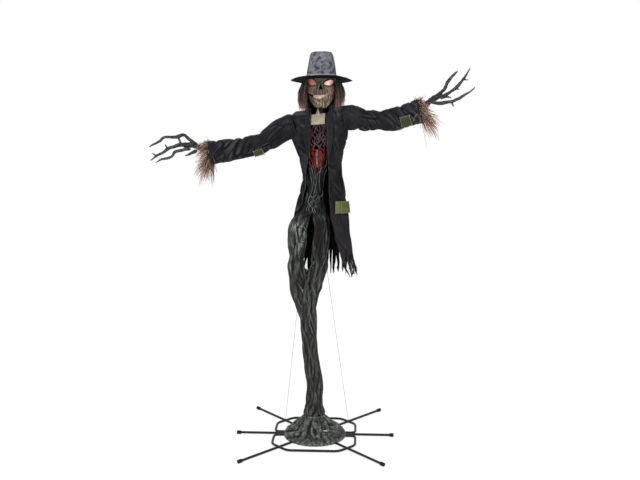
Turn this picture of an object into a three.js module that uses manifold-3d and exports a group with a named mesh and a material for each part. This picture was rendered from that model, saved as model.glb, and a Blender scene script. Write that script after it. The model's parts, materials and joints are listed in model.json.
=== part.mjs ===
// Animated scarecrow figure: a root-legged scarecrow on a star-shaped tube base, in a long torn coat,
// with a turning head, an opening jaw and two arms that rise and fall. Millimetres, +Z up, the figure
// faces -Y. Left and right are the figure's own, so its left hand is on +X. The origin is on the floor
// under the middle of the base.
import * as THREE from "three";
import { mergeVertices } from "three/addons/utils/BufferGeometryUtils.js";
import Module from "manifold-3d";

const wasm = await Module();
wasm.setup();

// Clearances and facet counts that the whole figure shares
const seatGap = 0.3;
const runGap = 0.4;
const cutOverrun = 6;
const mergeDistance = 0.0005;
const maxPlainCapSides = 8;
const tubeSides = 8;
const shaftSides = 12;

// Base: two bent half rings with spokes, six plug-in legs and two hub plates. The rings run round the mound.
const moundRadius = 226;
const ringSideGap = 36;
const ringEndGap = 54;
const tubeRadius = 8;
const tubeWall = 1.5;
const capWall = 2.7;
const capLength = 26;
const ringHalfWidth = moundRadius + ringSideGap;
const ringHalfDepth = moundRadius + ringEndGap;
const ringCornerWidth = 102;
const ringCornerDepth = 100;
const ringEndSpacing = 28;
const ringEndInset = 62;
const ringBend = 27;
const sideLegInset = 20;
const sideLegReach = 510;
const cornerLegReach = 636;
const cornerLegAngle = THREE.MathUtils.degToRad(47);
const spokeInset = 78;
const spokeStub = 14;
const spigotLength = 50;
const hubPlateThickness = 6;
const hubPlateHalfWidth = 112;
const hubPlateHalfDepth = 82;
const hubCorner = 18;
const hubTongueHalfWidth = 52;
const hubTongueReach = 176;
const hubBoltRadius = 4;
const hubBoltSpread = 98;
const hubBoltSpacing = 14;
const hubBoltHeadRadius = 7;
const hubBoltHeadHeight = 5;
const boltSides = 6;

// Mast: a lower tube, and a forked upper frame with one tube in each leg
const mastX = -14;
const mastRadius = 16;
const mastWall = 2.4;
const mastJoint = 560;
const mastSocketWall = 5;
const mastSocketHeight = 84;
const mastSpigotDepth = 70;
const forkStemRadius = 11;
const forkTubeRadius = 8;
const forkRise = 255;
const forkSplit = mastJoint + forkRise;
const forkEntryShare = 0.55;
const forkPathCount = 7;
const pelvisPlateThickness = 6;
const pelvisPlateHalfWidth = 60;
const pelvisPlateHalfDepth = 20;
const tetherLugRadius = 4;
const tetherLugReach = 64;
const tetherLugSpacing = 30;
const tetherRadius = 1.2;
const tetherSlit = 3;
const lineSides = 6;

// Ground mound: a hollow shell of roots round the foot of the trunk
const moundHeight = 128;
const moundWall = 8;
const moundFloorGap = 1;
const moundSides = 32;
const moundLiningSides = 16;
const moundRootCount = 8;
const moundRootDepth = 16;
const moundRootShare = 0.035;
const moundLobeShare = 0.03;
const moundSlotClearance = 2;
const sensorSideShare = 0.275;
const sensorFrontShare = 0.495;
const sensorHeightShare = 0.55;
const sensorX = moundRadius * sensorSideShare;
const sensorY = -moundRadius * sensorFrontShare;
const sensorZ = moundHeight * sensorHeightShare;
const sensorHalfWidth = 22;
const sensorHalfHeight = 5;
const sensorDepth = 34;

// Control box behind the trunk
const boxHalfWidth = 44;
const boxFront = 96;
const boxBack = 170;
const boxHeight = 36;
const buttonRadius = 6;
const buttonLength = 14;
const buttonProud = 4.5;
const buttonTravel = 2.5;
const buttonX = 30;
const inletRadius = 4;
const inletDepth = 12;
const inletX = 8;
const speakerX = -20;
const speakerSlotCount = 5;
const speakerSlotPitch = 6;
const speakerSlotWidth = 2.6;
const speakerSlotHeight = 22;
const speakerSlotDepth = 5;

// Trunk, legs and pelvis: root shells with ridges and vines
const trunkBottom = 116;
const crotchRise = 235;
const legSplit = forkSplit + crotchRise;
const trunkTopDrop = 90;
const trunkTop = legSplit - trunkTopDrop;
const trunkRadius = 50;
const trunkSway = 50;
const legRootDepth = 75;
const legBottom = forkSplit - legRootDepth;
const legRadius = 50;
const legSpread = 110;
const thighRise = 410;
const thighTop = legSplit + thighRise;
const hipRise = 70;
const legTop = thighTop + hipRise;
const pelvisPlateRise = 40;
const pelvisPlateHeight = thighTop + pelvisPlateRise;
const legSteps = 16;
const legSides = 10;
const barkRidgeCount = 4;
const legRidgeShare = 0.07;
const legDepthShare = 0.95;
const rightLegTwistAngle = 9;
const leftLegTwistAngle = -8;
const trunkSteps = 15;
const trunkSides = 12;
const trunkRidgeShare = 0.09;
const trunkTwistAngle = 7;
const trunkDepthShare = 0.98;
const vineRadius = 7;
const vineSteps = 7;
const vineSides = 4;
const torsoRootDepth = 8;
const torsoBottom = thighTop - torsoRootDepth;
const pelvisRise = 180;
const torsoSeam = thighTop + pelvisRise;
const cageRise = 400;
const torsoTop = torsoSeam + cageRise;
const torsoWall = 6;
const torsoRadius = 96;
const torsoLean = 34;
const torsoSteps = 10;
const torsoSides = 12;
const torsoDepthShare = 0.7;

// Chest lamp, spine and shoulder yoke
const windowRight = -30;
const windowLeft = 78;
const windowRise = 78;
const windowBottom = torsoSeam + windowRise;
const windowDrop = 40;
const windowTop = torsoTop - windowDrop;
const windowBack = -14;
const lensHalfWidth = 42;
const lensHalfHeight = 60;
const lensRise = 78;
const lensHeight = windowBottom + lensRise;
const lensBack = -24;
const lensDepth = 18;
const lensWall = 3;
const lensSides = 14;
const lampX = 24;
const lampBoardThickness = 5;
const lampPostRadius = 7;
const spineRadius = 11;
const spineSteps = 7;
const spineLowShare = 0.4;
const spineHighShare = 0.7;
const rightShoulderX = -150;
const rightShoulderDrop = 48;
const leftShoulderX = 205;
const leftShoulderRise = 5;
const rightShoulder = new THREE.Vector3(rightShoulderX, 0, torsoTop - rightShoulderDrop);
const leftShoulder = new THREE.Vector3(leftShoulderX, 0, torsoTop + leftShoulderRise);
const yokeFront = 10;
const yokeBack = 24;
const yokeSeatThickness = 13;
const yokeSeatHalfWidth = 32;
const yokeSeatFront = -16;
const yokeArmHeight = 22;
const yokeTabHalfWidth = 21;
const yokeTabThickness = 6;
const yokeKneeShare = 0.3;
const yokeTipShare = 0.9;
const shoulderMotorHalfWidth = 20;
const shoulderMotorDepth = 32;
const shoulderMotorHalfHeight = 25;
const shoulderShaftRadius = 5;
const armHubRadius = 16;
const armHubHalfLength = 8;
const armTubeRadius = 9;
const armTubeSteps = 6;
const armTubeSides = 6;

// Coat, sleeves and patches
const clothThickness = 4;
const coatHemRise = 30;
const coatHem = legSplit + coatHemRise;
const coatTopRise = 60;
const coatTop = torsoTop + coatTopRise;
const coatHalfWidth = 186;
const coatHalfDepth = 90;
const coatColumnCount = 24;
const coatFoldCount = 6;
const coatFoldDepth = 10;
const coatTiltShare = 0.12;
const coatTiltStartShare = 0.85;
const coatTiltEndShare = 0.95;
const hemTear = 86;
const neckHoleX = 34;
const neckHoleRadius = 66;
const coatPartingRise = 18;
const coatPartingZ = thighTop + coatPartingRise;
const coatPartingX = -30;
const coatPartingY = 64;
const armholeRadius = 54;
const armholeLength = 46;
const armReach = 510;
const sleeveRadius = 72;
const sleeveDepthShare = 0.95;
const sleeveSides = 12;
const sleeveSteps = 6;
const sleeveRidgeCount = 6;
const sleeveRidgeShare = 0.02;
const sleeveTwistAngle = 5;
const armSwing = THREE.MathUtils.degToRad(8);
const armSwingSteps = 12;
const armSwingGap = 0.9;
const sweptRings = 3;
const patchThickness = 3;
const hipPatchRight = 127;
const hipPatchLeft = 208;
const hipPatchDrop = 7;
const hipPatchBottom = thighTop - hipPatchDrop;
const hipPatchHeight = 73;
const hipPatchTop = hipPatchBottom + hipPatchHeight;

// Hands and straw
const handReach = 375;
const fingerRadius = 10;
const fingerSides = 4;
const palmSteps = 5;
const palmSides = 7;
const cuffThickness = 22;
const cuffProud = 2;
const strawRingCount = 3;
const strawStrandCount = 7;
const strawStrandRadius = 4;
const strawLength = 112;
const strawRoot = 8;
const strawStartShares = [0.42, 0.76];
const strawSplayShares = [0.5, 0.62];
const strawLengthShares = [0.44, 1];
const strawStepAngle = 2.4;
const strawSagShare = 0.3;
const strawPathShares = [
  [0.45, 0.4],
  [0.95, 1],
];
const strandSides = 3;

// Head, jaw, hat and hair
const headX = 42;
const headHalfWidth = 90;
const chinRise = 62;
const headBottom = torsoTop + chinRise;
const headHeight = 226;
const headTop = headBottom + headHeight;
const headWall = 6;
const headSides = 24;
const headRibCount = 12;
const headRibShare = 0.02;
const jawPivotY = 18;
const jawPivotRise = 104;
const jawPivotZ = headBottom + jawPivotRise;
const jawSwing = THREE.MathUtils.degToRad(10);
const jawSpare = THREE.MathUtils.degToRad(2.5);
const jawEarRadius = 12;
const jawBossRadius = 9;
const jawBossEnd = 61;
const jawPinRadius = 4;
const jawPinEnd = 76;
const skullSplitY = 20;
const partingGap = 1.5;
const neckHoleInHead = 42;
const neckHoleInHeadRise = 38;
const neckHoleInHeadTop = headBottom + neckHoleInHeadRise;
const mouthLensInset = 26;
const mouthLensRise = 38;
const mouthLensBottom = headBottom + mouthLensRise;
const mouthLensHeight = 68;
const mouthLensTop = mouthLensBottom + mouthLensHeight;
const mouthLensAngle = THREE.MathUtils.degToRad(104);
const mouthLensSteps = 10;
const mouthLensBack = 14;
const lensBracketOuter = 54;
const lensBracketReach = 24;
const lensBracketDrop = 32;
const lensBracketBottom = jawPivotZ - lensBracketDrop;
const lensBracketHeight = 8;
const lensOverlap = 6;
const eyeHalfShare = 0.3;
const neckMotorHalfWidth = 20;
const neckMotorHalfDepth = 15;
const neckMotorHeight = 24;
const neckShaftRadius = 6;
const neckHubRadius = 12;
const crossPlateRise = 48;
const crossPlateHeight = headBottom + crossPlateRise;
const headPlateThickness = 5;
const uprightOuter = 46;
const uprightThickness = 6;
const uprightFront = 8;
const uprightBack = 28;
const browPlateDrop = 44;
const browPlateHeight = headTop - browPlateDrop;
const jawMotorHalfWidth = 18;
const jawMotorDepth = 30;
const jawMotorHeight = 40;
const hatX = headX;
const hatBrimHalfWidth = 187;
const hatBrimHalfDepth = 165;
const hatSeatDrop = 48;
const hatBrimHeight = headTop - hatSeatDrop;
const hatCrownHeight = 160;
const hatTop = hatBrimHeight + hatCrownHeight;
const hatWall = 3;
const hatFrontRise = 24;
const hatSideDroop = 6;
const hatEdgeDroop = 2;
const hatSwayCount = 3;
const hatSides = 22;
const hairBandDrop = 42;
const hairBandBottom = hatBrimHeight - hairBandDrop;
const hairBandHeight = 20;
const hairBandThickness = 16;
const hairStart = THREE.MathUtils.degToRad(54);
const hairEnd = THREE.MathUtils.degToRad(166);
const hairLayerCount = 3;
const hairStrandCount = 7;
const hairStrandRadius = 4.4;
const hairBottomRise = 26;
const hairBottom = headBottom + hairBottomRise;
const hairFrontDrop = 34;
const hairFlare = 128;
const hairBandSteps = 8;
const hairStaggerShare = 0.4;
const hairUneven = 8;
const hairStepAngle = 2.1;
const hairRootShares = [0.25, 0.8];
const hairBendShare = 0.6;
const hairBendDropShare = 0.45;

// Unit directions and small helpers
const alongX = new THREE.Vector3(1, 0, 0);
const alongY = new THREE.Vector3(0, 1, 0);
const alongZ = new THREE.Vector3(0, 0, 1);
const point = (x, y, z) => new THREE.Vector3(x, y, z);
const mix = (a, b, share) => a + (b - a) * share;
const turn = (share) => share * Math.PI * 2;
const lifted = (from, direction, distance) => from.clone().addScaledVector(direction, distance);

// Height of a horizontal tube's axis when its rubber cap stands on the floor
const capFlat = tubeRadius + seatGap + capWall;
const flatShare = Math.cos(Math.PI / tubeSides);
const tubeAxis = capFlat;
const tubeTop = tubeAxis + tubeRadius * flatShare;
const hubTopBottom = tubeTop + seatGap;
const hubTopTop = hubTopBottom + hubPlateThickness;
const hubBottomTop = tubeAxis - tubeRadius * flatShare - seatGap;

// A closed geometry as a solid, turned outwards if its faces point in.
function solidFrom(geometry) {
  const bare = new THREE.BufferGeometry();
  const source = geometry.index ? geometry.toNonIndexed() : geometry;
  bare.setAttribute("position", source.getAttribute("position"));
  const merged = mergeVertices(bare, mergeDistance);
  const index = merged.index.array;
  const corners = [];
  for (let i = 0; i < index.length; i += 3) {
    const [a, b, c] = [index[i], index[i + 1], index[i + 2]];
    if (a !== b && b !== c && c !== a) corners.push([a, b, c]);
  }
  const vertProperties = merged.attributes.position.array;
  const build = (faces) =>
    new wasm.Manifold(new wasm.Mesh({ numProp: 3, vertProperties, triVerts: new Uint32Array(faces.flat()) }));
  const made = build(corners);
  return made.volume() >= 0 ? made : build(corners.map(([a, b, c]) => [a, c, b]));
}

function geometryFrom(solid) {
  const { vertProperties, triVerts } = solid.getMesh();
  const geometry = new THREE.BufferGeometry();
  geometry.setAttribute("position", new THREE.BufferAttribute(new Float32Array(vertProperties), 3));
  geometry.setIndex(new THREE.BufferAttribute(new Uint32Array(triVerts), 1));
  return geometry;
}

// The main body of a cut solid, without the scraps that lie beyond the cut.
function largest(solid) {
  return solid.decompose().sort((a, b) => b.volume() - a.volume())[0];
}

const unite = (solids) => solids.reduce((whole, next) => whole.add(next));

function box(x0, x1, y0, y1, z0, z1) {
  const geometry = new THREE.BoxGeometry(x1 - x0, y1 - y0, z1 - z0);
  geometry.translate((x0 + x1) / 2, (y0 + y1) / 2, (z0 + z1) / 2);
  return solidFrom(geometry);
}

// A straight prism of an outline in plan, [x, y] pairs, between two heights.
function planPrism(outline, bottom, top) {
  const shape = new THREE.Shape(outline.map(([x, y]) => new THREE.Vector2(x, y)));
  const geometry = new THREE.ExtrudeGeometry(shape, { depth: top - bottom, bevelEnabled: false });
  geometry.translate(0, 0, bottom);
  return solidFrom(geometry);
}

// A straight prism of an outline in the front view, [x, z] pairs, from a front to a back.
function frontPrism(outline, front, back) {
  const shape = new THREE.Shape(outline.map(([x, z]) => new THREE.Vector2(x, z)));
  const geometry = new THREE.ExtrudeGeometry(shape, { depth: back - front, bevelEnabled: false });
  geometry.rotateX(Math.PI / 2);
  geometry.translate(0, back, 0);
  return solidFrom(geometry);
}

// A straight prism of an outline in the side view, [y, z] pairs, between two places on X.
function sidePrism(outline, right, left) {
  const shape = new THREE.Shape(outline.map(([y, z]) => new THREE.Vector2(y, z)));
  const geometry = new THREE.ExtrudeGeometry(shape, { depth: left - right, bevelEnabled: false });
  geometry.rotateX(Math.PI / 2);
  geometry.rotateZ(Math.PI / 2);
  geometry.translate(right, 0, 0);
  return solidFrom(geometry);
}

// One ring of points about a centre, in the plane of two unit vectors, with a flat at the top.
function ringAt(centre, across, up, sides, halfWidth, halfHeight = halfWidth) {
  return Array.from({ length: sides }, (_, i) => {
    const angle = turn((i + 0.5) / sides);
    return lifted(lifted(centre, across, halfWidth * Math.cos(angle)), up, halfHeight * Math.sin(angle));
  });
}

// The triangles between neighbouring rings of equally many points.
function bandTriangles(rings, closed) {
  const triangles = [];
  const last = closed ? rings.length : rings.length - 1;
  for (let r = 0; r < last; r += 1) {
    const ring = rings[r];
    const next = rings[(r + 1) % rings.length];
    ring.forEach((corner, i) => {
      const j = (i + 1) % ring.length;
      triangles.push([corner, ring[j], next[j]], [corner, next[j], next[i]]);
    });
  }
  return triangles;
}

function solidOfTriangles(triangles) {
  const positions = triangles.flatMap((corners) => corners.flatMap((c) => [c.x, c.y, c.z]));
  const geometry = new THREE.BufferGeometry();
  geometry.setAttribute("position", new THREE.Float32BufferAttribute(positions, 3));
  return solidFrom(geometry);
}

// A closed solid through rings of equally many points. Small ends are fanned from a corner, wide ones from
// their middle.
function loft(rings) {
  const fan = (ring, backwards) => {
    const [first, ...others] = ring;
    if (ring.length <= maxPlainCapSides) {
      return others.slice(1).map((corner, i) =>
        backwards ? [first, corner, others[i]] : [first, others[i], corner],
      );
    }
    const centre = ring.reduce((sum, c) => sum.add(c), point(0, 0, 0)).divideScalar(ring.length);
    return ring.map((corner, i) => {
      const next = ring[(i + 1) % ring.length];
      return backwards ? [centre, next, corner] : [centre, corner, next];
    });
  };
  const start = fan(rings[0], true);
  const end = fan(rings[rings.length - 1], false);
  return solidOfTriangles([...bandTriangles(rings, false), ...start, ...end]);
}

// A closed band through rings that come back to the first one, such as a sleeve's wall.
const ringBand = (rings) => solidOfTriangles(bandTriangles(rings, true));

// A turned solid through stations [distance along the axis, radius], closed on the axis at both ends.
function turned(stations, from, direction, sides = tubeSides) {
  const along = direction.clone().normalize();
  const upright = Math.abs(along.z) > Math.abs(along.x) + Math.abs(along.y);
  const across = new THREE.Vector3().crossVectors(along, upright ? alongY : alongZ).normalize();
  const up = new THREE.Vector3().crossVectors(across, along);
  return loft(
    stations.map(([distance, radius]) => ringAt(lifted(from, along, distance), across, up, sides, radius)),
  );
}

// A plain round bar between two points.
function bar(from, to, radius, sides = tubeSides) {
  const along = to.clone().sub(from);
  return turned([[0, radius], [along.length(), radius]], from, along, sides);
}

// A tube open at both ends.
function openTube(from, to, radius, bore, sides = tubeSides) {
  const along = to.clone().sub(from);
  const length = along.length();
  const outer = bar(from, to, radius, sides);
  const inner = turned([[-cutOverrun, bore], [length + cutOverrun, bore]], from, along, sides);
  return outer.subtract(inner);
}

// A bent round tube through corners, each rounded over the bend length.
function pipe(corners, radius, bend, bendSteps = 2) {
  const path = new THREE.CurvePath();
  let start = corners[0];
  corners.slice(1, -1).forEach((corner, index) => {
    const before = lifted(corner, corners[index].clone().sub(corner).normalize(), bend);
    const after = lifted(corner, corners[index + 2].clone().sub(corner).normalize(), bend);
    path.add(new THREE.LineCurve3(start, before));
    path.add(new THREE.QuadraticBezierCurve3(before, corner, after));
    start = after;
  });
  path.add(new THREE.LineCurve3(start, corners[corners.length - 1]));
  const rings = path.curves.flatMap((curve, index) => {
    const steps = curve.isLineCurve3 ? 1 : bendSteps;
    const places = Array.from({ length: steps + 1 }, (_, i) => i / steps).slice(index ? 1 : 0);
    return places.map((t) => {
      const across = new THREE.Vector3().crossVectors(curve.getTangent(t), alongZ).normalize();
      return ringAt(curve.getPoint(t), across, alongZ, tubeSides, radius);
    });
  });
  return loft(rings);
}

// A tapering limb along a smooth path: a root, leg, finger, strand or sleeve.
class Limb {
  constructor({ path, ...look }) {
    const plain = { ridges: 0, ridgeShare: 0, depthShare: 1, twist: 0, across: alongX };
    Object.assign(this, plain, look);
    this.curve = new THREE.CatmullRomCurve3(path, false, "catmullrom", 0.5);
  }

  radiusAt(t) {
    const place = Math.min(Math.max(t, 0), 1) * (this.radii.length - 1);
    const index = Math.min(Math.floor(place), this.radii.length - 2);
    return mix(this.radii[index], this.radii[index + 1], place - index);
  }

  // A point on the skin, at a share of the path and an angle round it, lifted off by a distance.
  pointAt(t, angle, lift = 0) {
    const tangent = this.curve.getTangent(t);
    const across = lifted(this.across, tangent, -this.across.dot(tangent)).normalize();
    const deep = new THREE.Vector3().crossVectors(tangent, across);
    const ridge = 1 + this.ridgeShare * Math.cos(this.ridges * angle + this.twist * t);
    const radius = this.radiusAt(t) * ridge;
    const wide = lifted(this.curve.getPoint(t), across, (radius + lift) * Math.cos(angle));
    return lifted(wide, deep, (radius * this.depthShare + lift) * Math.sin(angle));
  }

  ring(t, lift) {
    return Array.from({ length: this.sides }, (_, i) => this.pointAt(t, turn((i + 0.5) / this.sides), lift));
  }

  rings(lift = 0) {
    return Array.from({ length: this.steps + 1 }, (_, s) => this.ring(s / this.steps, lift));
  }

  // A positive lift also lengthens the limb at both ends, so that it cuts a clearance all round.
  solid(lift = 0) {
    const rings = this.rings(lift);
    const shift = (ring, t, distance) =>
      ring.map((corner) => lifted(corner, this.curve.getTangent(t), distance));
    return loft([shift(rings[0], 0, -lift), ...rings.slice(1, -1), shift(rings[this.steps], 1, lift)]);
  }

  // The wall of a hollow limb, open at both ends.
  wall(thickness, lift = 0) {
    return ringBand([...this.rings(lift), ...this.rings(lift - thickness).reverse()]);
  }

  // A vine that lies on the skin, through places given as [share of the path, turns round it].
  vine(places, radius, steps) {
    const path = places.map(([t, turns]) => this.pointAt(t, turn(turns), 0));
    const radii = places.map((_, i) => (i === 0 || i === places.length - 1 ? radius / 2 : radius));
    return new Limb({ path, radii, steps, sides: vineSides, across: vineAcross }).solid();
  }
}
const vineAcrossShares = [0.2, 1, 0.1];
const vineAcross = point(...vineAcrossShares).normalize();

// A limb from rows of shares [x, y, z, radius] of the sizes in the second argument.
function limbFrom(rows, { origin, reach, height = reach, radius, ...look }) {
  const path = rows.map(([x, y, z]) =>
    point(origin.x + x * reach, origin.y + y * reach, origin.z + z * height),
  );
  return new Limb({ path, radii: rows.map((row) => row[3] * radius), ...look });
}

const figure = new THREE.Group();

function add(name, solid, [color, roughness, metalness = 0]) {
  const material = new THREE.MeshStandardMaterial({ color, roughness, metalness });
  const mesh = new THREE.Mesh(geometryFrom(solid), material);
  mesh.name = name;
  figure.add(mesh);
}

// Finishes: colour, roughness and metalness
const blackSteel = [0x23252a, 0.45, 0.6];
const greySteel = [0x8d9096, 0.4, 0.9];
const blackPlastic = [0x1b1c1e, 0.6];
const softRubber = [0x121214, 0.8];
const paleLine = [0xb4b4b0, 0.7];
const darkRoot = [0x3f4441, 0.85];
const paleRoot = [0x5b615c, 0.85];
const purpleRoot = [0x3b2c33, 0.85];
const coatCloth = [0x2a2a32, 0.95];
const patchCloth = [0x7c8246, 0.95];
const cream = [0xb5ab94, 0.9];
const strawBrown = [0x7b5a48, 0.95];
const maskOlive = [0x7c7358, 0.7];
const glowPink = [0xf2c4b4, 0.3];
const glowRed = [0x8a1712, 0.35];
const feltGrey = [0x7d7d86, 0.95];

// Where each spoke crosses the cut corner of its half ring, measured from the origin
const spokeCross =
  (ringHalfWidth * ringCornerDepth + (ringHalfDepth - ringCornerDepth) * ringCornerWidth) /
  (Math.cos(cornerLegAngle) * ringCornerDepth + Math.sin(cornerLegAngle) * ringCornerWidth);
const spigotRadius = tubeRadius - tubeWall - seatGap;
const cornerDirection = (side, end) =>
  point(side * Math.cos(cornerLegAngle), end * Math.sin(cornerLegAngle), 0);
const onFloorTube = (x, y) => point(x, y, tubeAxis);

// A half ring with its two spokes: end is -1 for the front one and 1 for the rear one.
function baseFrame(end) {
  const quarter = (side) => [
    onFloorTube(side * ringEndInset, end * ringEndSpacing),
    onFloorTube(side * ringHalfWidth, end * ringEndSpacing),
    onFloorTube(side * ringHalfWidth, end * (ringHalfDepth - ringCornerDepth)),
    onFloorTube(side * (ringHalfWidth - ringCornerWidth), end * ringHalfDepth),
  ];
  const ring = pipe([...quarter(-1), ...quarter(1).reverse()], tubeRadius, ringBend);
  const spokeLength = spokeCross + spokeStub - spokeInset;
  const spokes = [-1, 1].map((side) => {
    const direction = cornerDirection(side, end);
    const stations = [
      [0, tubeRadius],
      [spokeLength, tubeRadius],
      [spokeLength, spigotRadius],
      [spokeLength + spigotLength, spigotRadius],
    ];
    return turned(stations, lifted(onFloorTube(0, 0), direction, spokeInset), direction);
  });
  return unite([ring, ...spokes]);
}
add("base_frame_front", baseFrame(-1), blackSteel);
add("base_frame_rear", baseFrame(1), blackSteel);

// Plug-in legs and their rubber end caps
function legCap(tip, direction) {
  const bore = tubeRadius + seatGap;
  const stations = [[-capWall, bore], [-capLength, bore], [-capLength, bore + capWall], [0, bore + capWall]];
  const outward = stations.map(([distance, radius]) => [distance, radius / (radius > bore ? flatShare : 1)]);
  return turned(outward, tip, direction);
}
const capSeat = capWall + seatGap;
[["left", 1], ["right", -1]].forEach(([name, side]) => {
  const direction = point(side, 0, 0);
  const leg = [[0, tubeRadius], [sideLegReach - capSeat - sideLegInset, tubeRadius]];
  add(`side_leg_${name}`, turned(leg, onFloorTube(side * sideLegInset, 0), direction), blackSteel);
  add(`leg_cap_side_${name}`, legCap(onFloorTube(side * sideLegReach, 0), direction), softRubber);
  [["front", -1], ["rear", 1]].forEach(([place, end]) => {
    const outward = cornerDirection(side, end);
    const start = spokeCross + spokeStub + seatGap;
    const legLength = cornerLegReach - capSeat - start;
    const boreDepth = spigotLength + tubeRadius;
    const bore = tubeRadius - tubeWall;
    const stations = [[boreDepth, bore], [0, bore], [0, tubeRadius], [legLength, tubeRadius]];
    const from = lifted(onFloorTube(0, 0), outward, start);
    add(`corner_leg_${place}_${name}`, turned(stations, from, outward), blackSteel);
    const tip = lifted(onFloorTube(0, 0), outward, cornerLegReach);
    add(`leg_cap_${place}_${name}`, legCap(tip, outward), softRubber);
  });
});

// Hub: two plates that clamp the tubes, with the mast socket and four bolts on the upper one
const hubOutline = [
  [-hubPlateHalfWidth, -hubPlateHalfDepth + hubCorner],
  [-hubPlateHalfWidth + hubCorner, -hubPlateHalfDepth],
  [hubPlateHalfWidth - hubCorner, -hubPlateHalfDepth],
  [hubPlateHalfWidth, -hubPlateHalfDepth + hubCorner],
  [hubPlateHalfWidth, hubPlateHalfDepth - hubCorner],
  [hubPlateHalfWidth - hubCorner, hubPlateHalfDepth],
  [-hubPlateHalfWidth + hubCorner, hubPlateHalfDepth],
  [-hubPlateHalfWidth, hubPlateHalfDepth - hubCorner],
];
add("hub_bottom_plate", planPrism(hubOutline, 0, hubBottomTop), blackSteel);
const mastFoot = point(mastX, 0, hubTopTop);
const socketBore = mastRadius + seatGap;
const tongue = box(
  -hubTongueHalfWidth, hubTongueHalfWidth, hubPlateHalfDepth - hubCorner, hubTongueReach, hubTopBottom,
  hubTopTop,
);
const socketFoot = mastFoot.clone().setZ(hubTopBottom);
const socketRadius = socketBore + mastSocketWall;
const socketTop = lifted(mastFoot, alongZ, mastSocketHeight);
const socket = openTube(socketFoot, socketTop, socketRadius, socketBore, shaftSides);
const socketFloor = bar(socketFoot, mastFoot, socketRadius, shaftSides);
const bolts = [-1, 1].flatMap((side) =>
  [-1, 1].map((end) => {
    const foot = point(side * hubBoltSpread, end * hubBoltSpacing, hubBottomTop + seatGap);
    const shank = hubTopTop - foot.z;
    const stations = [
      [0, hubBoltRadius],
      [shank, hubBoltRadius],
      [shank, hubBoltHeadRadius],
      [shank + hubBoltHeadHeight, hubBoltHeadRadius],
    ];
    return turned(stations, foot, alongZ, boltSides);
  }),
);
const hubTop = unite([planPrism(hubOutline, hubTopBottom, hubTopTop), tongue, socket, socketFloor, ...bolts]);
add("hub_top_plate", hubTop, blackSteel);

// Mast: the lower tube stands in the socket, and the fork's stem plugs into its top
const mastBottom = lifted(mastFoot, alongZ, seatGap);
const mastSplice = point(mastX, 0, mastJoint);
const spliceBore = forkStemRadius + seatGap;
const mastBlind = mastJoint - mastSpigotDepth - mastWall - mastBottom.z;
add(
  "mast_lower",
  turned(
    [[mastBlind, spliceBore], [mastJoint - mastBottom.z, spliceBore], [mastJoint - mastBottom.z, mastRadius],
      [0, mastRadius]],
    mastBottom, alongZ, shaftSides,
  ),
  blackSteel,
);

// Leg centre lines, as shares of the spread, the height from the bottom of the fork and the leg's radius.
// The first rows lie inside the trunk, where the two legs have grown together.
const rightLegShares = [
  [-0.38, 0, 0, 0.75],
  [-0.62, 0, 0.12, 0.9],
  [-0.86, 0, 0.25, 0.97],
  [-1.0, 0, 0.36, 1.0],
  [-1.03, -0.03, 0.48, 1.03],
  [-1.02, -0.04, 0.55, 0.88],
  [-1.02, -0.06, 0.65, 1.12],
  [-0.98, -0.04, 0.76, 1.12],
  [-0.82, 0, 0.84, 0.94],
  [-0.64, 0, 0.92, 0.78],
  [-0.46, 0, 1, 0.6],
];
const leftLegShares = [
  [-0.36, 0, 0, 0.75],
  [-0.32, 0, 0.12, 0.85],
  [-0.2, 0, 0.25, 0.95],
  [0, 0.02, 0.35, 1.02],
  [0.24, 0.02, 0.47, 1.02],
  [0.29, 0, 0.55, 0.94],
  [0.34, -0.02, 0.65, 1.0],
  [0.4, -0.02, 0.76, 0.94],
  [0.34, 0, 0.85, 0.92],
  [0.28, 0, 0.92, 0.88],
  [0.22, 0, 1, 0.66],
];
const legLook = {
  origin: point(0, 0, legBottom),
  reach: legSpread,
  height: legTop - legBottom,
  radius: legRadius,
  steps: legSteps,
  sides: legSides,
  ridges: barkRidgeCount,
  ridgeShare: legRidgeShare,
  depthShare: legDepthShare,
};
const rightLeg = limbFrom(rightLegShares, { ...legLook, twist: rightLegTwistAngle });
const leftLeg = limbFrom(leftLegShares, { ...legLook, twist: leftLegTwistAngle });

// The fork's two tubes run along the middle of the legs up to the pelvis plate
const forkSteps = 11;
const forkSides = 6;
const forkTop = pelvisPlateHeight + pelvisPlateThickness / 2;
function forkTube(leg, lift) {
  const legRise = legTop - legBottom;
  const startShare = (mix(forkSplit, legSplit, forkEntryShare) - legBottom) / legRise;
  const endShare = (forkTop - legBottom) / legRise;
  const inLeg = Array.from({ length: forkPathCount }, (_, i) => {
    const share = mix(startShare, endShare, i / (forkPathCount - 1));
    return leg.curve.getPoint(share);
  });
  const top = inLeg[forkPathCount - 1];
  const path = [point(mastX, 0, forkSplit), ...inLeg.slice(0, -1), point(top.x, 0, forkTop)];
  const radii = [forkTubeRadius, forkTubeRadius];
  return new Limb({ path, radii, steps: forkSteps, sides: forkSides }).solid(lift);
}
const lugDirection = alongY;
const lugHeight = pelvisPlateHeight + pelvisPlateThickness / 2;
const lugFoot = (side) => point(mastX + side * tetherLugSpacing, 0, lugHeight);
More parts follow.
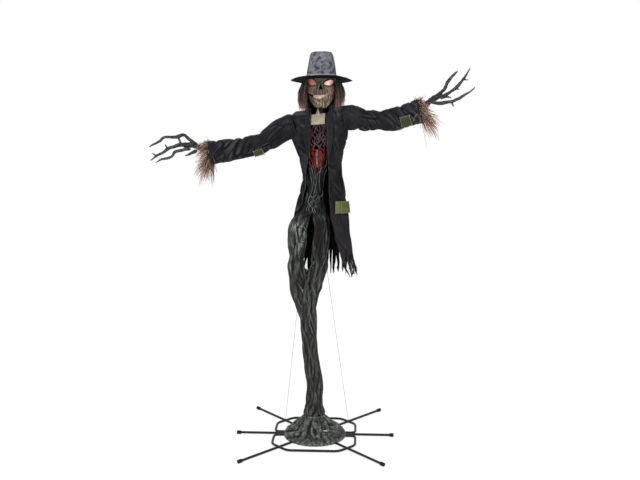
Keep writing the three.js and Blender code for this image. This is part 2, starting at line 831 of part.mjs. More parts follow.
function mastFork(lift) {
  const stemBottom = mastJoint - mastSpigotDepth;
  const stemTop = point(mastX, 0, forkSplit + lift);
  const stem = bar(point(mastX, 0, stemBottom), stemTop, forkStemRadius + lift, shaftSides);
  const plate = box(
    mastX - pelvisPlateHalfWidth - lift, mastX + pelvisPlateHalfWidth + lift, -pelvisPlateHalfDepth - lift,
    pelvisPlateHalfDepth + lift, pelvisPlateHeight - lift, pelvisPlateHeight + pelvisPlateThickness + lift,
  );
  const lugs = [-1, 1].map((side) =>
    bar(
      lifted(lugFoot(side), lugDirection, -lift), lifted(lugFoot(side), lugDirection, tetherLugReach),
      tetherLugRadius + lift,
    ),
  );
  return unite([stem, forkTube(rightLeg, lift), forkTube(leftLeg, lift), plate, ...lugs]);
}
add("mast_fork", mastFork(0), blackSteel);
const forkClearance = mastFork(runGap);

// Tethers: taut lines from the pelvis lugs to the rear spokes
function tether(side, radius) {
  const lugTip = lifted(lugFoot(side), lugDirection, tetherLugReach + seatGap + tetherRadius);
  const foot = lifted(point(0, 0, tubeTop + seatGap + tetherRadius), cornerDirection(side, 1), spokeCross);
  return bar(lugTip, foot, radius, lineSides);
}
add("tether_left", tether(1, tetherRadius), paleLine);
add("tether_right", tether(-1, tetherRadius), paleLine);
const tetherRoom = unite([tether(1, tetherRadius + tetherSlit), tether(-1, tetherRadius + tetherSlit)]);

// Trunk: one shell from the mound to the splice, one from there to where the legs part
const trunkShares = [
  [-0.2, 0, 0, 1.42],
  [-0.14, 0, 0.06, 1.28],
  [-0.1, 0, 0.14, 1.12],
  [-0.06, 0, 0.26, 1.01],
  [-0.36, 0, 0.39, 1.0],
  [-0.62, 0, 0.53, 1.0],
  [-0.74, 0, 0.66, 1.02],
  [-0.84, 0, 0.79, 1.1],
  [-1.1, 0, 0.91, 1.1],
  [-1.3, 0, 1, 0.8],
];
const trunk = limbFrom(trunkShares, {
  origin: point(0, 0, trunkBottom),
  reach: trunkSway,
  height: trunkTop - trunkBottom,
  radius: trunkRadius,
  steps: trunkSteps,
  sides: trunkSides,
  ridges: barkRidgeCount,
  ridgeShare: trunkRidgeShare,
  twist: trunkTwistAngle,
  depthShare: trunkDepthShare,
});
const farAside = moundRadius;
const slice = (bottom, top) => box(-farAside, farAside, -farAside, farAside, bottom, top);
const mastClearance = bar(
  lifted(mastFoot, alongZ, -cutOverrun), lifted(mastSplice, alongZ, seatGap + seatGap), mastRadius + runGap,
  shaftSides,
);
const trunkWhole = trunk.solid();
const trunkLower = trunkWhole.intersect(slice(trunkBottom, mastJoint - seatGap)).subtract(mastClearance);
add("trunk_lower", largest(trunkLower), darkRoot);
const legs = unite([rightLeg.solid(), leftLeg.solid()]);
const trunkFork = unite([trunkWhole, legs.intersect(slice(legBottom, legSplit))])
  .intersect(slice(mastJoint + seatGap, legSplit))
  .subtract(forkClearance)
  .subtract(mastClearance);
add("trunk_fork", largest(trunkFork), darkRoot);

// Thighs: each leg from the fork to the hip, wrapped in vines
const rightVineShares = [
  [[0.44, 0.7], [0.52, 0.86], [0.62, 0.8], [0.72, 0.66], [0.82, 0.72], [0.92, 0.86]],
  [[0.42, 0.86], [0.54, 0.66], [0.64, 0.58], [0.74, 0.8], [0.84, 0.9], [0.93, 0.72]],
];
const leftVineShares = [
  [[0.44, 0.8], [0.54, 0.66], [0.64, 0.62], [0.74, 0.74], [0.84, 0.8], [0.93, 0.68]],
  [[0.43, 0.62], [0.54, 0.8], [0.66, 0.92], [0.76, 0.86], [0.86, 0.66], [0.92, 0.6]],
];
function thigh(leg, vines) {
  const whole = unite([leg.solid(), ...vines.map((places) => leg.vine(places, vineRadius, vineSteps))]);
  return largest(whole.intersect(slice(legSplit + seatGap, thighTop)).subtract(forkClearance));
}
add("thigh_right", thigh(rightLeg, rightVineShares), paleRoot);
add("thigh_left", thigh(leftLeg, leftVineShares), paleRoot);

// Pelvis and torso share one limb: solid knotted roots below the seam, a hollow cage above it
const torsoShares = [
  [-0.48, 0, 0, 0.56],
  [-0.46, 0, 0.12, 0.54],
  [-0.2, 0, 0.25, 0.46],
  [0.15, 0, 0.36, 0.48],
  [0.45, 0, 0.46, 0.64],
  [0.62, 0, 0.58, 0.84],
  [0.72, 0, 0.7, 0.94],
  [0.85, 0, 0.84, 1.0],
  [0.95, 0, 0.94, 0.95],
  [1.0, 0, 1, 0.62],
];
const torso = limbFrom(torsoShares, {
  origin: point(0, 0, torsoBottom),
  reach: torsoLean,
  height: torsoTop - torsoBottom,
  radius: torsoRadius,
  steps: torsoSteps,
  sides: torsoSides,
  depthShare: torsoDepthShare,
});
const spinePath = [
  point(mastX, 0, pelvisPlateHeight + pelvisPlateThickness + seatGap),
  point(mastX, 0, mix(pelvisPlateHeight, torsoSeam, spineLowShare)),
  point(lampX, 0, lensHeight),
  point(neckHoleX, 0, mix(lensHeight, torsoTop, spineHighShare)),
  point(neckHoleX, 0, torsoTop),
];
const spine = new Limb({
  path: spinePath, radii: [spineRadius, spineRadius], steps: spineSteps, sides: tubeSides,
});
const spineWhole = spine.solid();
const spineBottom = pelvisPlateHeight + pelvisPlateThickness + seatGap;
add("spine_tube", largest(spineWhole.intersect(slice(spineBottom, torsoTop))), blackSteel);
const spineClearance = spine.solid(runGap);

const pelvisVineShares = [
  [[0.02, 0.6], [0.12, 0.7], [0.2, 0.84], [0.32, 0.78], [0.46, 0.72]],
  [[0.02, 0.9], [0.1, 0.8], [0.18, 0.66], [0.3, 0.68], [0.46, 0.8]],
  [[0.03, 0.7], [0.12, 0.88], [0.24, 0.9], [0.36, 0.74], [0.46, 0.84]],
  [[0.05, 0.4], [0.16, 0.3], [0.3, 0.24], [0.46, 0.3]],
  [[0.05, 0.1], [0.16, 0.2], [0.3, 0.28], [0.46, 0.2]],
];
const pelvisWhole = unite([
  torso.solid(),
  legs.intersect(slice(thighTop, legTop)),
  ...pelvisVineShares.map((places) => torso.vine(places, vineRadius, vineSteps)),
]);
const pelvis = pelvisWhole
  .intersect(slice(thighTop + seatGap, torsoSeam))
  .subtract(forkClearance)
  .subtract(spineClearance);
add("pelvis_roots", largest(pelvis), darkRoot);

// Torso cage: a thin root shell with a window in front, and vines that cross the window
const cageVineShares = [
  [[0.33, 0.7], [0.42, 0.73], [0.52, 0.76], [0.62, 0.76], [0.72, 0.72], [0.84, 0.68], [0.94, 0.66]],
  [[0.33, 0.76], [0.42, 0.74], [0.5, 0.71], [0.62, 0.7], [0.72, 0.76], [0.84, 0.8], [0.94, 0.82]],
  [[0.33, 0.82], [0.42, 0.79], [0.56, 0.81], [0.68, 0.79], [0.78, 0.72], [0.88, 0.69], [0.94, 0.72]],
  [[0.6, 0.58], [0.68, 0.66], [0.74, 0.73], [0.82, 0.82], [0.88, 0.9]],
  [[0.6, 0.92], [0.68, 0.84], [0.74, 0.78], [0.82, 0.68], [0.88, 0.6]],
];
const cageHole = box(windowRight, windowLeft, -farAside, windowBack, windowBottom, windowTop);
const cageInside = torso.solid(-torsoWall);
const cageVines = cageVineShares.map((places) => torso.vine(places, vineRadius, vineSteps));
const cage = unite([torso.solid().subtract(cageHole), ...cageVines])
  .subtract(cageInside)
  .intersect(slice(torsoSeam + seatGap, torsoTop))
  .subtract(spineClearance);
add("torso_cage", largest(cage), purpleRoot);

// Chest lamp: a domed lens over a board, on a post from the spine
const lensShares = [
  [0, 1],
  [0.5, 0.96],
  [0.86, 0.78],
  [1, 0.45],
];
const lensRing = ([depth, share], inset) =>
  ringAt(
    point(lampX, lensBack - depth * (lensDepth - inset), lensHeight), alongX, alongZ, lensSides,
    share * lensHalfWidth - inset, share * lensHalfHeight - inset,
  );
const lensRings = [
  ...lensShares.map((row) => lensRing(row, lensWall)).reverse(),
  ...lensShares.map((row) => lensRing(row, 0)),
];
add("chest_lens", loft(lensRings), glowRed);
const boardFront = lensBack + seatGap;
const boardRing = (y) =>
  ringAt(point(lampX, y, lensHeight), alongX, alongZ, lensSides, lensHalfWidth, lensHalfHeight);
const lampPost = bar(point(lampX, boardFront, lensHeight), point(lampX, 0, lensHeight), lampPostRadius);
const board = loft([boardRing(boardFront), boardRing(boardFront + lampBoardThickness)]);
const lampBoard = unite([board, lampPost]);
add("chest_lamp", largest(lampBoard.subtract(spine.solid(seatGap))), blackPlastic);

// Coat: sections as shares of its height, half width and half depth, from the hem up:
// [height, centre, half width, front depth, back depth]
const coatShares = [
  [0, 0.194, 1.258, 1.44, 1.64],
  [0.118, 0.194, 1.134, 1.36, 1.5],
  [0.312, 0.21, 1, 1.2, 1.24],
  [0.368, 0.242, 0.925, 1.14, 1.16],
  [0.496, 0.263, 0.785, 1.0, 1.04],
  [0.6, 0.26, 0.655, 0.94, 0.95],
  [0.674, 0.207, 0.691, 0.95, 0.96],
  [0.751, 0.172, 0.801, 0.97, 0.98],
  [0.819, 0.164, 0.933, 1, 1],
  [0.902, 0.172, 0.968, 0.93, 0.93],
  [0.951, 0.172, 0.978, 0.7, 0.7],
  [0.985, 0.172, 0.925, 0.42, 0.42],
  [1, 0.172, 0.806, 0.13, 0.13],
];
const hemTearShares = [0, 0.85, 0.12, 1, 0.05, 0.7, 0.25, 0.95, 0.1];
const coatRise = coatTop - coatHem;

// One section of the coat; a negative lift gives the lining side of the cloth.
function coatRing([heightShare, centreShare, widthShare, frontShare, backShare], lift, drop) {
  const tiltPlace = (heightShare - coatTiltStartShare) / (coatTiltEndShare - coatTiltStartShare);
  const tilt = coatTiltShare * Math.min(Math.max(tiltPlace, 0), 1);
  return Array.from({ length: coatColumnCount }, (_, i) => {
    const angle = turn((i + 0.5) / coatColumnCount);
    const fold = coatFoldDepth * (1 - heightShare) * Math.cos(coatFoldCount * angle);
    const halfWidth = coatHalfWidth * widthShare + fold + lift;
    const halfDepth = coatHalfDepth * (Math.cos(angle) > 0 ? frontShare : backShare) + fold + lift;
    const across = halfWidth * Math.sin(angle);
    const tear = heightShare > 0 ? 0 : hemTear * hemTearShares[i % hemTearShares.length];
    const height = coatHem + coatRise * heightShare + tilt * across + tear - drop;
    return point(coatHalfWidth * centreShare + across, -halfDepth * Math.cos(angle), height);
  });
}
const coatSolid = (lift, drop = 0) =>
  loft(coatShares.map((row, index) => coatRing(row, lift, index ? Math.max(-lift, 0) * row[0] : drop)));

// The front opening, seen from the front, as shares of the coat's half width and height. Its right edge
// falls away behind the right leg, so the cloth below the parting starts further back.
const coatPartingShare = (coatPartingZ - coatHem) / coatRise;
const openingShares = [
  [-0.11, 0.95],
  [-0.14, 0.86],
  [-0.16, 0.75],
  [-0.27, 0.61],
  [-0.46, 0.43],
  [-0.58, coatPartingShare],
  [-2, coatPartingShare],
  [-2, -0.2],
  [1.1, -0.2],
  [0.98, 0.05],
  [0.91, 0.108],
  [0.75, 0.225],
  [0.58, 0.353],
  [0.52, 0.5],
  [0.5, 0.61],
  [0.46, 0.76],
  [0.4, 0.9],
  [0.36, 1.04],
  [-0.08, 1.04],
];
const openingOutline = openingShares.map(([x, z]) => [coatHalfWidth * x, coatHem + coatRise * z]);
const frontOpening = frontPrism(openingOutline, -farAside, 0);
const rightSweep = box(-farAside - farAside, coatPartingX, -farAside, coatPartingY, 0, coatPartingZ);
const neckHole = bar(point(neckHoleX, 0, torsoTop), point(neckHoleX, 0, headTop), neckHoleRadius, shaftSides);

// Sleeves: tapering tubes of cloth along the arms, as shares [x, y, z, radius] from the shoulder
const rightSleeveShares = [
  [-0.016, 0, -0.01, 1.02],
  [-0.115, 0, -0.058, 1.0],
  [-0.245, 0, -0.143, 0.93],
  [-0.376, 0, -0.212, 0.83],
  [-0.535, 0, -0.247, 0.87],
  [-0.81, 0, -0.298, 0.96],
  [-1, 0, -0.325, 1.0],
];
const leftSleeveShares = [
  [0.016, 0, 0, 1.02],
  [0.11, 0, -0.01, 0.96],
  [0.21, 0, -0.037, 0.8],
  [0.357, 0, -0.031, 0.84],
  [0.5, 0, -0.025, 0.9],
  [0.678, 0, 0.01, 0.98],
  [0.882, 0, 0.084, 1.04],
];
const sleeveLook = {
  reach: armReach,
  radius: sleeveRadius,
  steps: sleeveSteps,
  sides: sleeveSides,
  depthShare: sleeveDepthShare,
  ridges: sleeveRidgeCount,
  ridgeShare: sleeveRidgeShare,
  twist: sleeveTwistAngle,
  across: alongY,
};
const arms = [
  { name: "right", side: -1, shoulder: rightShoulder, rows: rightSleeveShares },
  { name: "left", side: 1, shoulder: leftShoulder, rows: leftSleeveShares },
];
arms.forEach((arm) => {
  arm.sleeve = limbFrom(arm.rows, { ...sleeveLook, origin: arm.shoulder });
});

// The space that a sleeve's shoulder end sweeps as the arm rises and falls
function sleeveSweep(arm) {
  const start = arm.sleeve.curve.getTangent(0);
  const early = ([first, ...others]) => [
    first.map((corner) => lifted(corner, start, -armSwingGap)),
    ...others,
  ];
  const root = early(arm.sleeve.rings(armSwingGap).slice(0, sweptRings));
  const lining = early(arm.sleeve.rings(-clothThickness - armSwingGap).slice(0, sweptRings));
  const band = [...root, ...lining.reverse()];
  return unite(
    Array.from({ length: armSwingSteps + 1 }, (_, i) => {
      const angle = mix(-armSwing, armSwing, i / armSwingSteps);
      const swing = (corner) =>
        corner.clone().sub(arm.shoulder).applyAxisAngle(alongY, angle).add(arm.shoulder);
      return ringBand(band.map((ring) => ring.map(swing)));
    }),
  );
}
const armholes = arms.map(({ shoulder }) =>
  bar(
    lifted(shoulder, alongX, -armholeLength), lifted(shoulder, alongX, armholeLength), armholeRadius,
    shaftSides,
  ),
);
const coatLining = coatSolid(-clothThickness, hemTear + clothThickness);
const coat = [frontOpening, rightSweep, neckHole, tetherRoom, ...armholes, ...arms.map(sleeveSweep)].reduce(
  (cloth, cut) => cloth.subtract(cut),
  coatSolid(0).subtract(coatLining),
);
add("coat_body", largest(coat), coatCloth);

// Patch on the left hip, and the burlap bib behind the front edges of the coat
const hipOutline = [
  [hipPatchRight, hipPatchBottom],
  [hipPatchLeft, hipPatchBottom],
  [hipPatchLeft, hipPatchTop],
  [hipPatchRight, hipPatchTop],
];
const hipLayer = coatSolid(seatGap + patchThickness).subtract(coatSolid(seatGap));
add("hip_patch", largest(hipLayer.intersect(frontPrism(hipOutline, -farAside, 0))), patchCloth);
const bibShares = [[-0.22, 0.9], [0.44, 0.9], [0.42, 0.962], [0.2, 0.972], [-0.2, 0.96]];
const bibOutline = bibShares.map(([x, z]) => [coatHalfWidth * x, coatHem + coatRise * z]);
const liningLift = -clothThickness - seatGap;
const bibLayer = coatSolid(liningLift).subtract(coatSolid(liningLift - patchThickness));
add("neck_bib", largest(bibLayer.intersect(frontPrism(bibOutline, -farAside, -yokeBack))), cream);

// Shoulder yoke: a hanger under the coat's shoulders, with a seat for the neck motor and two motor tabs
const yokeSeatBottom = torsoTop + seatGap;
const yokeSeatTop = yokeSeatBottom + yokeSeatThickness;
const tabBottom = (arm) => arm.shoulder.z + shoulderMotorHalfHeight + seatGap;
const shoulderLine = (x) => coatTop + coatTiltShare * (x - coatHalfWidth * coatShares[0][1]);
function yokeArm(arm) {
  const inner = neckHoleX + arm.side * yokeSeatHalfWidth;
  const outer = arm.shoulder.x - arm.side * yokeTabHalfWidth;
  const tip = arm.shoulder.x + arm.side * yokeTabHalfWidth;
  const knee = mix(inner, outer, yokeKneeShare);
  const bottom = tabBottom(arm);
  return frontPrism(
    [
      [inner - arm.side * yokeTabThickness, yokeSeatBottom],
      [inner, yokeSeatBottom],
      [knee, shoulderLine(knee) - yokeArmHeight - yokeArmHeight],
      [outer, bottom],
      [tip, bottom],
      [tip, bottom + yokeTabThickness],
      [outer, bottom + yokeTabThickness],
      [mix(inner, outer, yokeTipShare), shoulderLine(outer)],
      [knee, shoulderLine(knee)],
      [inner, yokeSeatTop],
    ],
    yokeFront, yokeBack,
  );
}
const yokeSeat = box(
  neckHoleX - yokeSeatHalfWidth, neckHoleX + yokeSeatHalfWidth, yokeSeatFront, yokeBack, yokeSeatBottom,
  yokeSeatTop,
);
const underCoat = unite([
  coatSolid(liningLift),
  ...arms.map((arm) => box(
    arm.shoulder.x - armholeLength, arm.shoulder.x + armholeLength, yokeFront, yokeBack, tabBottom(arm),
    tabBottom(arm) + yokeTabThickness,
  )),
]);
const yoke = unite([yokeSeat, ...arms.map(yokeArm)]).intersect(underCoat);
add("shoulder_yoke", largest(yoke), blackSteel);

// Arms: gearmotor, tube, sleeve, straw cuff and hand
const rightHandShares = {
  wrist: [[-0.02, 0, 0, 1.5], [0.1, 0, 0.06, 1.5], [0.24, 0, 0.13, 1.7], [0.36, -0.02, 0.14, 1.5],
    [0.46, -0.02, 0.14, 1]],
  fingers: [
    [[0.2, 0, 0.14, 1], [0.32, -0.02, 0.23, 1], [0.4, -0.04, 0.3, 1], [0.53, -0.05, 0.27, 1.1],
      [0.73, -0.06, 0.26, 0.9], [0.8, -0.06, 0.2, 0.8], [0.93, -0.05, 0.14, 0.6], [0.99, -0.04, 0.1, 0.3]],
    [[0.3, 0, 0.1, 1.2], [0.46, 0, 0.14, 1.2], [0.6, 0.01, 0.1, 1], [0.69, 0.02, 0.07, 1],
      [0.77, 0.02, 0.01, 0.9], [0.89, 0.01, -0.05, 0.7], [0.99, 0, -0.13, 0.3]],
    [[0.3, -0.05, 0.08, 1], [0.45, -0.08, 0.05, 1], [0.55, -0.09, 0.02, 0.9], [0.59, -0.09, -0.04, 0.8],
      [0.67, -0.09, -0.08, 0.8], [0.78, -0.08, -0.1, 0.6], [0.88, -0.07, -0.16, 0.3]],
    [[0.2, -0.05, 0.04, 1.1], [0.28, -0.08, 0, 0.9], [0.37, -0.11, -0.04, 0.4]],
    [[0.5, -0.045, 0.27, 0.7], [0.47, -0.03, 0.18, 0.7], [0.45, -0.02, 0.13, 0.7]],
    [[0.69, 0.02, 0.07, 0.7], [0.74, 0.02, 0.14, 0.3]],
    [[0.88, 0.01, -0.05, 0.6], [0.96, 0.01, 0, 0.25]],
  ],
};
const leftHandShares = {
  wrist: [[-0.02, 0, -0.03, 1.5], [0.05, 0, 0.06, 1.5], [0.13, 0, 0.15, 1.7], [0.24, 0, 0.21, 1.7],
    [0.33, -0.02, 0.24, 1.2]],
  fingers: [
    [[0.24, 0, 0.23, 1.1], [0.35, 0.01, 0.33, 1.1], [0.39, 0.02, 0.4, 0.9], [0.42, 0.02, 0.47, 1],
      [0.51, 0.02, 0.57, 0.8], [0.57, 0.01, 0.63, 0.3]],
    [[0.3, -0.02, 0.2, 1.1], [0.46, -0.04, 0.3, 1], [0.54, -0.05, 0.36, 1], [0.6, -0.05, 0.43, 0.9],
      [0.65, -0.05, 0.49, 0.8], [0.7, -0.05, 0.57, 0.6], [0.76, -0.04, 0.67, 0.3]],
    [[0.14, -0.04, 0.14, 1], [0.24, -0.08, 0.11, 1.1], [0.35, -0.1, 0.12, 1.1], [0.47, -0.1, 0.14, 1],
      [0.57, -0.1, 0.18, 0.9], [0.7, -0.09, 0.26, 0.7], [0.78, -0.08, 0.31, 0.5], [0.84, -0.07, 0.37, 0.3]],
    [[0.3, 0, 0.2, 0.9], [0.4, 0.01, 0.22, 0.7], [0.47, 0.01, 0.2, 0.3]],
    [[0.53, -0.05, 0.35, 0.6], [0.59, -0.05, 0.33, 0.25]],
    [[0.65, -0.05, 0.49, 0.6], [0.73, -0.05, 0.48, 0.25]],
    [[0.46, -0.1, 0.14, 0.7], [0.5, -0.13, 0.06, 0.3]],
  ],
};

// A hand of branches: a knotty wrist with fingers that fork into twigs.
function handSolid(shares, wrist, side, lift = 0) {
  const look = { origin: wrist, reach: handReach, radius: fingerRadius, across: alongY };
  const mirrored = (rows) => rows.map(([x, y, z, radius]) => [side * x, y, z, radius]);
  const palm = limbFrom(mirrored(shares.wrist), { ...look, steps: palmSteps, sides: palmSides }).solid(lift);
  const fingers = shares.fingers.map((rows) =>
    limbFrom(mirrored(rows), { ...look, steps: rows.length - 1, sides: fingerSides }).solid(lift),
  );
  return unite([palm, ...fingers]);
}

// A bunch of straw: a disc in the sleeve's mouth with rings of strands that splay out of it.
function strawCuff(arm, cuffCentre, outward) {
  const [inner, mouth] = arm.sleeve.rings(-clothThickness - seatGap).slice(-2);
  const inset = cuffThickness / inner[0].distanceTo(mouth[0]);
  const disc = loft([
    mouth.map((corner) => lifted(corner, outward, cuffProud)),
    mouth,
    mouth.map((corner, i) => corner.clone().lerp(inner[i], inset)),
  ]);
  const up = new THREE.Vector3().crossVectors(outward, alongY).normalize();
  const raised = up.z > 0 ? up : up.negate();
  const radii = [strawStrandRadius, strawStrandRadius, strawStrandRadius / 2];
  const strands = [];
  for (let ring = 0; ring < strawRingCount; ring += 1) {
    const ringShare = ring / (strawRingCount - 1);
    const start = sleeveRadius * mix(...strawStartShares, ringShare);
    const splay = start * mix(...strawSplayShares, ringShare);
    for (let i = 0; i < strawStrandCount; i += 1) {
      const angle = turn((i + ring / strawRingCount) / strawStrandCount);
      const spoke = lifted(alongY.clone().multiplyScalar(Math.cos(angle)), raised, Math.sin(angle));
      const reach = strawLength * mix(...strawLengthShares, (1 + Math.cos(i * strawStepAngle + ring)) / 2);
      const sag = reach * strawSagShare * Math.max(-Math.sin(angle), 0);
      const rooted = lifted(lifted(cuffCentre, spoke, start), outward, cuffProud - strawRoot);
      const splayed = strawPathShares.map(([share, out]) => {
        const spread = lifted(cuffCentre, spoke, start + splay * out);
        return lifted(lifted(spread, outward, share * reach), alongZ, -sag * out);
      });
      const path = [rooted, ...splayed];
      strands.push(new Limb({ path, radii, steps: 2, sides: strandSides, across: vineAcross }).solid());
    }
  }
  return unite([disc, ...strands]);
}

arms.forEach((arm) => {
  const centres = arm.rows.map(([x, y, z]) =>
    point(arm.shoulder.x + x * armReach, arm.shoulder.y + y * armReach, arm.shoulder.z + z * armReach),
  );
  const cuffCentre = centres[centres.length - 1];
  const outward = arm.sleeve.curve.getTangent(1).normalize();
  const hub = bar(
    lifted(arm.shoulder, alongY, -armHubHalfLength), lifted(arm.shoulder, alongY, armHubHalfLength),
    armHubRadius, shaftSides,
  );
  const shaftHole = bar(
    lifted(arm.shoulder, alongY, -armHubHalfLength - cutOverrun),
    lifted(arm.shoulder, alongY, armHubHalfLength + cutOverrun), shoulderShaftRadius + seatGap, shaftSides,
  );
  const tubeEnd = lifted(cuffCentre, outward, cutOverrun);
  const tubePath = [arm.shoulder.clone(), ...centres.slice(2, -1), tubeEnd];
  const tubeRadii = [armTubeRadius, armTubeRadius];
  const tube = new Limb({
    path: tubePath, radii: tubeRadii, steps: armTubeSteps, sides: armTubeSides, across: alongY,
  });
  add(`arm_tube_${arm.name}`, unite([hub, tube.solid()]).subtract(shaftHole), greySteel);

  const motorFront = armHubHalfLength + runGap;
  const motorBody = box(
    arm.shoulder.x - shoulderMotorHalfWidth, arm.shoulder.x + shoulderMotorHalfWidth, motorFront,
    motorFront + shoulderMotorDepth, arm.shoulder.z - shoulderMotorHalfHeight,
    arm.shoulder.z + shoulderMotorHalfHeight,
  );
  const shaft = bar(
    lifted(arm.shoulder, alongY, -armHubHalfLength), lifted(arm.shoulder, alongY, motorFront + cutOverrun),
    shoulderShaftRadius, shaftSides,
  );
  add(`shoulder_gearmotor_${arm.name}`, unite([motorBody, shaft]), blackPlastic);
  add(`sleeve_${arm.name}`, arm.sleeve.wall(clothThickness), coatCloth);

  const shares = arm.side < 0 ? rightHandShares : leftHandShares;
  const hand = handSolid(shares, cuffCentre, arm.side).subtract(tube.solid(seatGap));
  add(`hand_${arm.name}`, largest(hand), darkRoot);
  const straw = strawCuff(arm, cuffCentre, outward)
    .subtract(handSolid(shares, cuffCentre, arm.side, seatGap))
    .subtract(tube.solid(seatGap));
  add(`straw_cuff_${arm.name}`, largest(straw), strawBrown);
});

// Head: sections as shares of its half width, from the chin up: [height, half width, depth, forward shift]
const headShares = [
  [0, 0.26, 0.24, 0.5],
  [0.045, 0.46, 0.4, 0.42],
  [0.13, 0.62, 0.58, 0.28],
  [0.26, 0.8, 0.76, 0.13],
  [0.42, 0.94, 0.9, 0.05],
  [0.6, 1, 0.97, 0],
  [0.78, 0.98, 0.96, 0],
  [0.9, 0.84, 0.84, 0],
  [0.97, 0.6, 0.6, 0],
  [1, 0.3, 0.3, 0],
];
function headRing([heightShare, widthShare, depthShare, shiftShare], lift) {
  return Array.from({ length: headSides }, (_, i) => {
    const angle = turn((i + 0.5) / headSides);
    const rib = 1 + headRibShare * Math.sin(headRibCount * angle);
    const halfWidth = Math.max(headHalfWidth * widthShare * rib + lift, headWall);
    const halfDepth = Math.max(headHalfWidth * depthShare * rib + lift, headWall);
    const height = mix(headBottom - Math.min(lift, 0), headTop + lift, heightShare);
    return point(
      headX + halfWidth * Math.sin(angle), -headHalfWidth * shiftShare - halfDepth * Math.cos(angle), height,
    );
  });
}
// The head's section at a height, and a point of a layer under its skin at an angle from the front
function headShareAt(z) {
  const place = (z - headBottom) / (headTop - headBottom);
  const next = headShares.findIndex(([height]) => height >= place);
  const [low, high] = [headShares[next - 1], headShares[next]];
  return low.map((share, i) => mix(share, high[i], (place - low[0]) / (high[0] - low[0])));
}
function headPoint(z, angle, lift) {
  const [, widthShare, depthShare, shiftShare] = headShareAt(z);
  const x = (headHalfWidth * widthShare + lift) * Math.sin(angle);
  const y = -headHalfWidth * shiftShare - (headHalfWidth * depthShare + lift) * Math.cos(angle);
  return point(headX + x, y, z);
}
const headSolid = (lift = 0) => loft(headShares.map((row) => headRing(row, lift)));
const neckCut = bar(
  point(headX, 0, torsoTop), point(headX, 0, neckHoleInHeadTop), neckHoleInHead, shaftSides,
);
const headShell = headSolid().subtract(headSolid(-headWall)).subtract(neckCut);
const headLayer = (near, far) => headSolid(-near).subtract(headSolid(-far));

// Face openings in the front view, as shares of the head's half width from its middle and the pivot's height
const faceOutline = (shares) =>
  shares.map(([x, z]) => [headX + headHalfWidth * x, jawPivotZ + headHalfWidth * z]);
const rightEyeShares = [
  [-0.86, 0.7], [-0.54, 0.72], [-0.34, 0.5], [-0.33, 0.37], [-0.68, 0.36], [-0.83, 0.5],
];
const leftEyeShares = [
  [0.22, 0.46], [0.33, 0.57], [0.64, 0.7], [0.79, 0.63], [0.77, 0.49], [0.58, 0.33], [0.3, 0.36],
];
const noseShares = [[-0.02, 0.43], [-0.13, 0.07], [0.13, 0.07]];
const upperLipShares = [
  [-2.2, -0.04], [-1.08, -0.04], [-0.8, -0.2], [-0.52, -0.3], [-0.09, -0.32], [0.3, -0.27], [0.49, -0.2],
  [0.64, -0.04], [2.2, -0.04], [2.2, -1.6], [-2.2, -1.6],
];
const lowerLipShares = [
  [-2.2, -0.057], [-1.1, -0.057], [-0.86, -0.28], [-0.68, -0.42], [-0.37, -0.51], [-0.09, -0.56],
  [0.2, -0.46], [0.46, -0.34], [0.67, -0.057], [2.2, -0.057], [2.2, -1.6], [-2.2, -1.6],
];
const faceCut = (shares) => frontPrism(faceOutline(shares), -farAside, 0);
const wholeSides = (shares) => frontPrism(faceOutline(shares), -farAside, farAside);
const earAxis = (from, to, radius) =>
  bar(point(headX + from, jawPivotY, jawPivotZ), point(headX + to, jawPivotY, jawPivotZ), radius, shaftSides);
const earHoles = unite([
  earAxis(-headHalfWidth - cutOverrun, -jawBossEnd, jawEarRadius + partingGap),
  earAxis(jawBossEnd, headHalfWidth + cutOverrun, jawEarRadius + partingGap),
]);
const frontHalf = box(-farAside, farAside + farAside, -farAside, skullSplitY, torsoTop, hatTop);
const rearHalf = box(-farAside, farAside + farAside, skullSplitY + seatGap, farAside, torsoTop, hatTop);
const eyeCuts = unite([faceCut(rightEyeShares), faceCut(leftEyeShares), faceCut(noseShares)]);
const faceShell = headShell
  .intersect(frontHalf)
  .subtract(eyeCuts)
  .subtract(wholeSides(upperLipShares))
  .subtract(earHoles);
add("face_shell", largest(faceShell), maskOlive);
add("skull_rear", largest(headShell.intersect(rearHalf).subtract(earHoles)), maskOlive);

// Jaw: the shell below the grin, in front of a slanted rear edge that leaves room for its swing
const jawSlope = Math.tan(jawSwing + jawSpare);
const jawDepth = jawPivotZ - headBottom + cutOverrun;
const jawSide = sidePrism(
  [
    [jawPivotY, jawPivotZ],
    [-farAside, jawPivotZ],
    [-farAside, jawPivotZ - jawDepth],
    [jawPivotY - jawSlope * jawDepth, jawPivotZ - jawDepth],
  ],
  -farAside, farAside + farAside,
);
const jawPlate = headShell.intersect(jawSide).intersect(wholeSides(lowerLipShares));
const earBar = unite([
  earAxis(-headHalfWidth, -headHalfWidth / 2, jawEarRadius),
  earAxis(headHalfWidth / 2, headHalfWidth, jawEarRadius),
]);
const ears = headSolid().subtract(headSolid(-headWall)).intersect(earBar);
const bosses = unite([
  earAxis(-headHalfWidth, -jawBossEnd, jawBossRadius),
  earAxis(jawBossEnd, headHalfWidth, jawBossRadius),
]).intersect(headSolid(-headWall / 2));
const pinBores = unite([
  earAxis(-jawPinEnd - seatGap, -jawBossEnd + cutOverrun, jawPinRadius + runGap),
  earAxis(jawBossEnd - cutOverrun, jawPinEnd + seatGap, jawPinRadius + runGap),
]);
add("jaw_shell", largest(unite([jawPlate, ears, bosses]).subtract(pinBores)), maskOlive);

